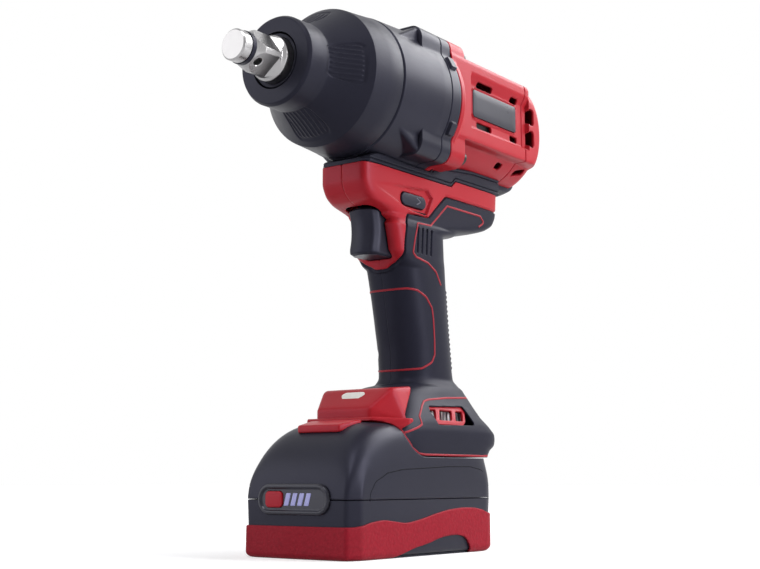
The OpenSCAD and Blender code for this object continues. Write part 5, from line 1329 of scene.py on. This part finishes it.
def label_groove_shade_mesh():
    """Fine raised strip round the bare label field on each side of the battery, in a near-black finish:
    painted shade of the groove that outlines the field.
    """
    line = resample(rounded(LABEL, 5.0), 160)
    z = line[:, 1]
    front, rear, half, n = battery_level(z)
    eta = np.clip(np.abs(line[:, 0] - (front + rear) / 2) / ((rear - front) / 2), 0, 1)
    x = half * np.maximum(1 - eta ** n, 0) ** (1 / n)
    path = np.column_stack([x, line])
    normal = unit(np.tile([1.0, 0, 0.25], (len(path), 1)))
    return mirrored(outward(ribbon(path, normal, 0.7, 0.18), path.mean(0) - [5, 0, 0]))


# Settings a user may change


def colour(name, description, default):
    """Colour setting with its words and default."""
    return bpy.props.FloatVectorProperty(
        name=name, description=description, subtype="COLOR", size=3, min=0, max=1, default=default)


def length(name, description, default):
    """Length setting in metres."""
    return bpy.props.FloatProperty(
        name=name, description=description, default=default, min=0, unit="LENGTH")


class WrenchColours(bpy.types.PropertyGroup):
    """Colours of the wrench's finishes."""

    red: colour("Shell red", "Colour of the red shells", (0.34, 0.012, 0.018))
    line: colour("Line red", "Colour of the thin lines on the grip", (0.28, 0.02, 0.028))
    bumper: colour("Bumper red", "Colour of the battery's bumper", (0.25, 0.009, 0.02))
    black: colour("Case black", "Colour of the hard black cases", (0.014, 0.014, 0.022))
    rubber: colour("Boot black", "Colour of the rubber nose boot and saddle", (0.012, 0.012, 0.019))
    soft: colour("Grip black", "Colour of the soft grip", (0.012, 0.012, 0.02))
    badge: colour("Badge", "Colour of the bare badges", (0.018, 0.018, 0.026))
    steel: colour("Steel", "Colour of the bright steel", (0.3, 0.295, 0.3))
    lens: colour("Lens", "Colour of the lamp lens", (0.72, 0.7, 0.66))
    glow: colour("Gauge bars", "Colour of the lit gauge bars", (0.28, 0.28, 0.56))


class WrenchSizes(bpy.types.PropertyGroup):
    """Sizes of the wrench's surface details."""

    rib_count: bpy.props.IntProperty(
        name="Boot ribs", description="Ribs in each panel of the nose boot", default=8, min=2, max=12)
    rib_depth: length("Rib depth", "Depth of the ribbed panels in the nose boot", 0.0007)
    line_width: length("Line width", "Width of the red lines on the grip", 0.0013)
    line_height: length("Line height", "Height of the red lines on the grip", 0.00035)
    groove: length("Saddle groove", "Depth of the groove along the saddle", 0.0009)
    wall: length("Wall", "Thickness of the shells drawn in the scene", 0.0013)
    bumper_proud: length("Bumper step", "How far the bumper stands out of the battery", 0.0005)


def mm(value):
    """Setting in metres as millimetres."""
    return value / MM


# Operators


class WRENCH_OT_nose(bpy.types.Operator):
    """Rubber nose boot with its ribbed panels"""

    bl_idname = "wrench.nose"
    bl_label = "Nose boot"

    def execute(self, context):
        sizes = context.scene.wrench_sizes
        boot = nose_boot_mesh(sizes.rib_count, mm(sizes.rib_depth))
        put("Nose_boot", boot, "rubber", "soft_black", "nose_boot", sharp=50)
        return {"FINISHED"}


class WRENCH_OT_case(bpy.types.Operator):
    """Hammer case and gear case plate"""

    bl_idname = "wrench.case"
    bl_label = "Hammer case"

    def execute(self, context):
        put("Hammer_case", hammer_case_mesh(), "black", "case_black", "hammer_case")
        put("Gear_case", gear_plate_mesh(), "black", "case_black", "gear_case")
        return {"FINISHED"}


class WRENCH_OT_motor(bpy.types.Operator):
    """Motor housing, rear cover with a near-black plate behind its vents as painted shade, rear strip and
    side badges
    """

    bl_idname = "wrench.motor"
    bl_label = "Motor housing"

    def execute(self, context):
        shell = 2.2
        put("Motor_housing", motor_housing_mesh(), "red", "shell_red", "motor_housing", wall=shell)
        put("Rear_cover", rear_cover_mesh(), "red", "shell_red", "rear_cover", wall=shell)
        # Near-black plate just inside the rear vents: painted shade of the housing's inside, seen through
        # them
        back = plate((27.0, COVER_Y + 8.5, AXIS_Z + 2.5), SIDE, (6.0, 16.0), 2.0, 1.0, 0.3)
        put("Vent_shade_plates", mirrored(back), "dark", "black_plastic")
        put("Rear_strip", rear_strip_mesh(), "rubber", "soft_black", "rear_bumper")
        middle = (RECESS_X + 0.05, BADGE_AT[0], AXIS_Z + BADGE_AT[1])
        badge = plate(middle, SIDE, BADGE_HALF, 1.8, 1.0, 0.35)
        put("Side_badges", mirrored(badge), "badge", "case_black", "side_badges")
        return {"FINISHED"}


class WRENCH_OT_saddle(bpy.types.Operator):
    """Rubber saddle between head and handle"""

    bl_idname = "wrench.saddle"
    bl_label = "Saddle"

    def execute(self, context):
        groove = mm(context.scene.wrench_sizes.groove)
        put("Head_saddle", saddle_mesh(groove), "rubber", "soft_black", "head_saddle")
        return {"FINISHED"}


class WRENCH_OT_handle(bpy.types.Operator):
    """Handle halves, soft grips, a near-black strip behind their joint that paints the seam's shade, and
    the red lines on the grip
    """

    bl_idname = "wrench.handle"
    bl_label = "Handle"

    def execute(self, context):
        sizes = context.scene.wrench_sizes
        wall = mm(sizes.wall)
        half = handle_half()
        soft = area_field(half[0][:, 1:], SOFT_EDGE)
        core = half[0] - normals(half) * (wall + 0.3), half[1]
        seam, joint, lap = 0.04, 0.12, 2.5
        for side, sign in (("right", 1), ("left", -1)):
            gaps = handle_gaps(half[0], sign < 0, -1.0)
            shell = clip(half, np.minimum(handle_gaps(half[0], sign < 0, seam), -soft - joint))
            grip = clip(half, np.minimum(gaps, soft - joint))
            # Near-black strip inside the shells along the grip's edge: painted shade in the seam between
            # shell and grip
            seam_shade = clip(core, np.minimum(gaps, lap - np.abs(soft)))
            if sign < 0:
                shell, grip, seam_shade = map(flipped, (shell, grip, seam_shade))
            put("Handle_" + side, shell, "red", "shell_red", side + "_handle", wall=wall)
            put("Grip_" + side, grip, "soft", "soft_black", side + "_grip", wall=wall)
            put("Seam_shade_" + side, seam_shade, "dark", "black_plastic", wall=0.4)
        lines = mirrored(stripes(mm(sizes.line_width), mm(sizes.line_height)))
        put("Grip_lines", lines, "red_line", "shell_red")
        return {"FINISHED"}


class WRENCH_OT_controls(bpy.types.Operator):
    """Trigger and direction button"""

    bl_idname = "wrench.controls"
    bl_label = "Trigger and button"

    def execute(self, context):
        put("Trigger", trigger_mesh(), "black", "black_plastic", "trigger", body="trigger", sharp=50)
        button = "direction_button"
        put("Direction_button", button_mesh(), "black", "black_plastic", button, body=button)
        put("Button_arrows", arrow_mesh(0.8, 0.25), "mark", "black_plastic", body=button)
        return {"FINISHED"}


class WRENCH_OT_foot(bpy.types.Operator):
    """Lamp nose, skirt over the battery's hump, lamp lens, vent fins and grilles"""

    bl_idname = "wrench.foot"
    bl_label = "Foot and lamp"

    def execute(self, context):
        nose = box_corners((-19.5, -31, FOOT_Z + 19.5), (19.5, -29, FOOT_Z + 27.5))
        nose += box_corners((-26, -17, FOOT_Z + 13.5), (26, -11, FOOT_Z + 39.7))
        nose += box_corners((-27, 4, FOOT_Z), (27, 14, FOOT_Z + 41.7))
        nose += [(x * side, y, z) for side in (-1, 1)
                 for x, y, z in ((20.6, -2.2, 94.3), (29.6, -12.6, 81.6), (33.4, -12.5, 77))]
        skirt = box_corners((-24, -35, FOOT_Z + 15.5), (24, -31, FOOT_Z + 22.1))
        skirt += box_corners((-37.7, -15, FOOT_Z + 7.5), (37.7, 8, FOOT_Z + 21.5))
        for name, corners, bevel in (("Lamp_nose", nose, 1.8), ("Lamp_skirt", skirt, 1.6)):
            mesh = finer(hull_mesh(corners, bevel), 3)
            _, y, z = mesh[0].T
            mesh = clip(mesh, np.minimum(above_hump(y, z), lamp_edge(z) - y))
            put(name, mesh, "red", "shell_red", wall=1.5)
        lean, sunk = math.radians(47), 1.2
        middle, half = node_middle("lamp_lens")
        plane = np.array([(1, 0, 0), (0, math.cos(lean), math.sin(lean))])
        lens = plate(middle - np.cross(*plane) * sunk, plane, (half[0], 5.4), 4.2, 2.6, 0.9, 0.3)
        put("Lamp_lens", lens, "lens", "lens", "lamp_lens")
        pitch, first = 4.2, 25
        fins = [plate((24, first + pitch * k, 82), FACE, (2.0, 4.4), 0.3, 1.2, 0.2) for k in range(8)]
        put("Vent_fins", mirrored(join(*fins)), "fin", "pale_metal")
        put("Vent_grilles", mirrored(grille_mesh()), "red", "shell_red", "vent_grilles", wall=2.0)
        return {"FINISHED"}


class WRENCH_OT_battery(bpy.types.Operator):
    """Battery cases, bumper, rail tower, latch and the painted shade of the label's outline groove"""

    bl_idname = "wrench.battery"
    bl_label = "Battery"

    def execute(self, context):
        pack = "battery"
        put("Battery_top", battery_top_mesh(), "black", "case_black", "battery_top_case", body=pack,
            wall=2.0)
        put("Battery_base", battery_base_mesh(), "black", "case_black", "battery_bottom_case", body=pack)
        band, under = bumper_mesh(mm(context.scene.wrench_sizes.bumper_proud))
        put("Battery_bumper", band, "red_rubber", "shell_red", "battery_bumper", body=pack, wall=1.2)
        put("Battery_underside", under, "black", "case_black", body=pack)
        for name, half, low, high in (("Rail_neck", 15.3, -1, 7.7), ("Rail_head", 20.0, 6.7, 13.2)):
            corners = box_corners((-half, -14.5, DECK_Z + low), (half, 52, DECK_Z + high))
            put(name, finer(hull_mesh(corners, 0.7), 1), "black", "case_black", body=pack)
        put("Battery_latch", latch_mesh(), "red", "shell_red", "battery_latch", body="latch")
        # Near-black ribbon along the label's edge: painted shade of the groove there
        put("Label_groove_shade", label_groove_shade_mesh(), "dark", "case_black", body=pack)
        return {"FINISHED"}


class WRENCH_OT_gauge(bpy.types.Operator):
    """Charge gauge: rim, panel, button and lit bars"""

    bl_idname = "wrench.gauge"
    bl_label = "Charge gauge"

    def execute(self, context):
        put("Gauge_panel", gauge_mesh(), "badge", "black_plastic", "gauge_panel", body="battery",
            wall=1.2)
        middle, half = node_middle("gauge_button")
        face, foot = BATTERY_FRONT_Y - 0.4, middle[1] + half[1]
        button = plate((middle[0], foot, middle[2]), FACE, half[::2], 2.6, foot - face + 0.9, 0.7, 0.1)
        put("Gauge_button", button, "red", "shell_red", "gauge_button", body="gauge_button")
        low, high = node_box("gauge_lights")
        count, share, lean = 4, 0.34, 0.28
        pitch = (high[0] - low[0]) / (count - 1 + 2 * share)
        plane = ((1, 0, 0), np.array([lean, 0, 1]) / math.hypot(lean, 1))
        bars = [plate((low[0] + (k + share) * pitch, face + 0.5, middle[2]), plane, (share * pitch, 3.6),
                      0.5, 0.75, 0.2) for k in range(count)]
        put("Gauge_lights", join(*bars), "glow", "light_bar", "gauge_lights", body="battery")
        return {"FINISHED"}


class WRENCH_OT_drive(bpy.types.Operator):
    """Square drive with its rounded edges"""

    bl_idname = "wrench.drive"
    bl_label = "Drive"

    def execute(self, context):
        put("Anvil", anvil_mesh(), "steel", "steel", "anvil", body="anvil", sharp=28)
        return {"FINISHED"}


class WRENCH_OT_solids(bpy.types.Operator):
    """Finishes of the pieces that keep their solids"""

    bl_idname = "wrench.solids"
    bl_label = "Inner pieces"

    def execute(self, context):
        by_slot = {"shell_red": "red", "case_black": "black", "soft_black": "rubber", "lead": "lead",
                   "black_plastic": "black", "steel": "tool_steel", "dark_steel": "screw", "lens": "lens",
                   "bronze": "bronze", "copper": "copper", "board": "board", "pale_metal": "pale",
                   "cell_wrap": "cell", "light_bar": "glow"}
        slots = {part["node"]: part["material_slot"] for part in frame["record"]["subparts"]}
        for name, node in frame["nodes"].items():
            for holder in node.material_slots:
                holder.material = finish("rubber" if name == "socket_ring" else by_slot[slots[name]])
        return {"FINISHED"}


# Lamps as name, place, width, height and watts; the camera as it was fitted to the photo
FLOOR_HALF = 6
LAMP_AIM = (0, 0.01, 0.17)
LAMPS = (("Side", (1.1, 0.35, 0.5), 0.35, 0.8, 12.0), ("Back", (0.4, 0.85, 0.95), 0.9, 0.7, 15.0),
         ("Top", (0.2, -0.6, 1.2), 0.5, 0.4, 6.5), ("Front", (-0.8, -0.95, 0.5), 1.0, 1.1, 8.0))
SENSOR, FOCAL_PIXELS, PHOTO_WIDTH = 36, 1276.8, 760
EYE, EYE_TURN = (0.47129, -0.61637, 0.04382), (98.661, 0, 37.167)


class WRENCH_OT_stage(bpy.types.Operator):
    """Floor, backdrop light, lamps and camera"""

    bl_idname = "wrench.stage"
    bl_label = "Stage"

    def execute(self, context):
        scene = context.scene
        scene.view_settings.view_transform = "Standard"
        sky = Paint(bpy.data.worlds.new("Studio"))
        room = sky.node("Background", {"Color": (0.95, 0.95, 1, 1), "Strength": 0.07})
        white = sky.node("Background", {"Color": (1, 1, 1, 1), "Strength": 1.0})
        scene.world = sky.done(sky.node("MixShader", {0: sky.seen(), 1: room, 2: white}))

        ground = material("Pale floor")
        away = ground.node("VectorMath", {0: ground.place()}, "Value", operation="LENGTH")
        far = ground.node("MapRange", {
            "Value": away, "From Min": 0.1, "From Max": 0.9, "To Min": 0.45, "To Max": 1.0})
        glow = ground.node("Emission", {"Color": (1, 1, 1, 1), "Strength": ground.seen() * far})
        matt = ground.skin(Base_Color=(0.62, 0.62, 0.63, 1), Roughness=0.9)
        data = bpy.data.meshes.new("Floor")
        r = FLOOR_HALF
        data.from_pydata([(-r, -r, 0), (r, -r, 0), (r, r, 0), (-r, r, 0)], [], [(0, 1, 2, 3)])
        data.materials.append(ground.done(ground.node("AddShader", {0: matt, 1: glow})))
        floor = placed("Floor", data)

        for name, at, wide, tall, power in LAMPS:
            light = bpy.data.lights.new(name, "AREA")
            light.shape = "RECTANGLE"
            light.size, light.size_y, light.energy = wide, tall, power
            lamp = placed(name, light)
            lamp.location, lamp.rotation_euler = at, lamp_turn(at, LAMP_AIM)
        camera = bpy.data.cameras.new("Camera")
        camera.sensor_width = SENSOR
        camera.lens = FOCAL_PIXELS / PHOTO_WIDTH * SENSOR
        scene.camera = placed("Camera", camera)
        scene.camera.location = EYE
        scene.camera.rotation_euler = [math.radians(turn) for turn in EYE_TURN]
        return {"FINISHED"}


def lamp_turn(at, aim):
    """Turn that points a lamp's -Z from one place to another."""
    d = np.subtract(aim, at)
    flat = math.hypot(d[0], d[1])
    return math.atan2(flat, -d[2]), 0.0, math.atan2(d[1], d[0]) - math.pi / 2


class WRENCH_PT_panel(bpy.types.Panel):
    """Sidebar list of the wrench's operators and settings"""

    bl_idname = "WRENCH_PT_panel"
    bl_label = "Impact Wrench"
    bl_space_type = "VIEW_3D"
    bl_region_type = "UI"
    bl_category = "Wrench"

    def draw(self, context):
        for operator in OPERATORS:
            self.layout.operator(operator.bl_idname)
        for group in (context.scene.wrench_colours, context.scene.wrench_sizes):
            column = self.layout.column()
            for key in group.bl_rna.properties.keys():
                if key not in ("rna_type", "name"):
                    column.prop(group, key)


OPERATORS = (WRENCH_OT_solids, WRENCH_OT_nose, WRENCH_OT_case, WRENCH_OT_motor, WRENCH_OT_saddle,
             WRENCH_OT_handle, WRENCH_OT_controls, WRENCH_OT_foot, WRENCH_OT_battery, WRENCH_OT_gauge,
             WRENCH_OT_drive, WRENCH_OT_stage)
CLASSES = (WrenchColours, WrenchSizes, *OPERATORS, WRENCH_PT_panel)


def register():
    """Registers the classes and hangs the settings on the scene."""
    for cls in CLASSES:
        bpy.utils.register_class(cls)
    bpy.types.Scene.wrench_colours = bpy.props.PointerProperty(type=WrenchColours)
    bpy.types.Scene.wrench_sizes = bpy.props.PointerProperty(type=WrenchSizes)


def unregister():
    """Takes the settings off the scene and unregisters the classes."""
    del bpy.types.Scene.wrench_sizes
    del bpy.types.Scene.wrench_colours
    for cls in reversed(CLASSES):
        bpy.utils.unregister_class(cls)


def main():
    """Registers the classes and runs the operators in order."""
    register()
    for operator in OPERATORS:
        group, name = operator.bl_idname.split(".")
        getattr(getattr(bpy.ops, group), name)()


if __name__ == "__main__":
    main()
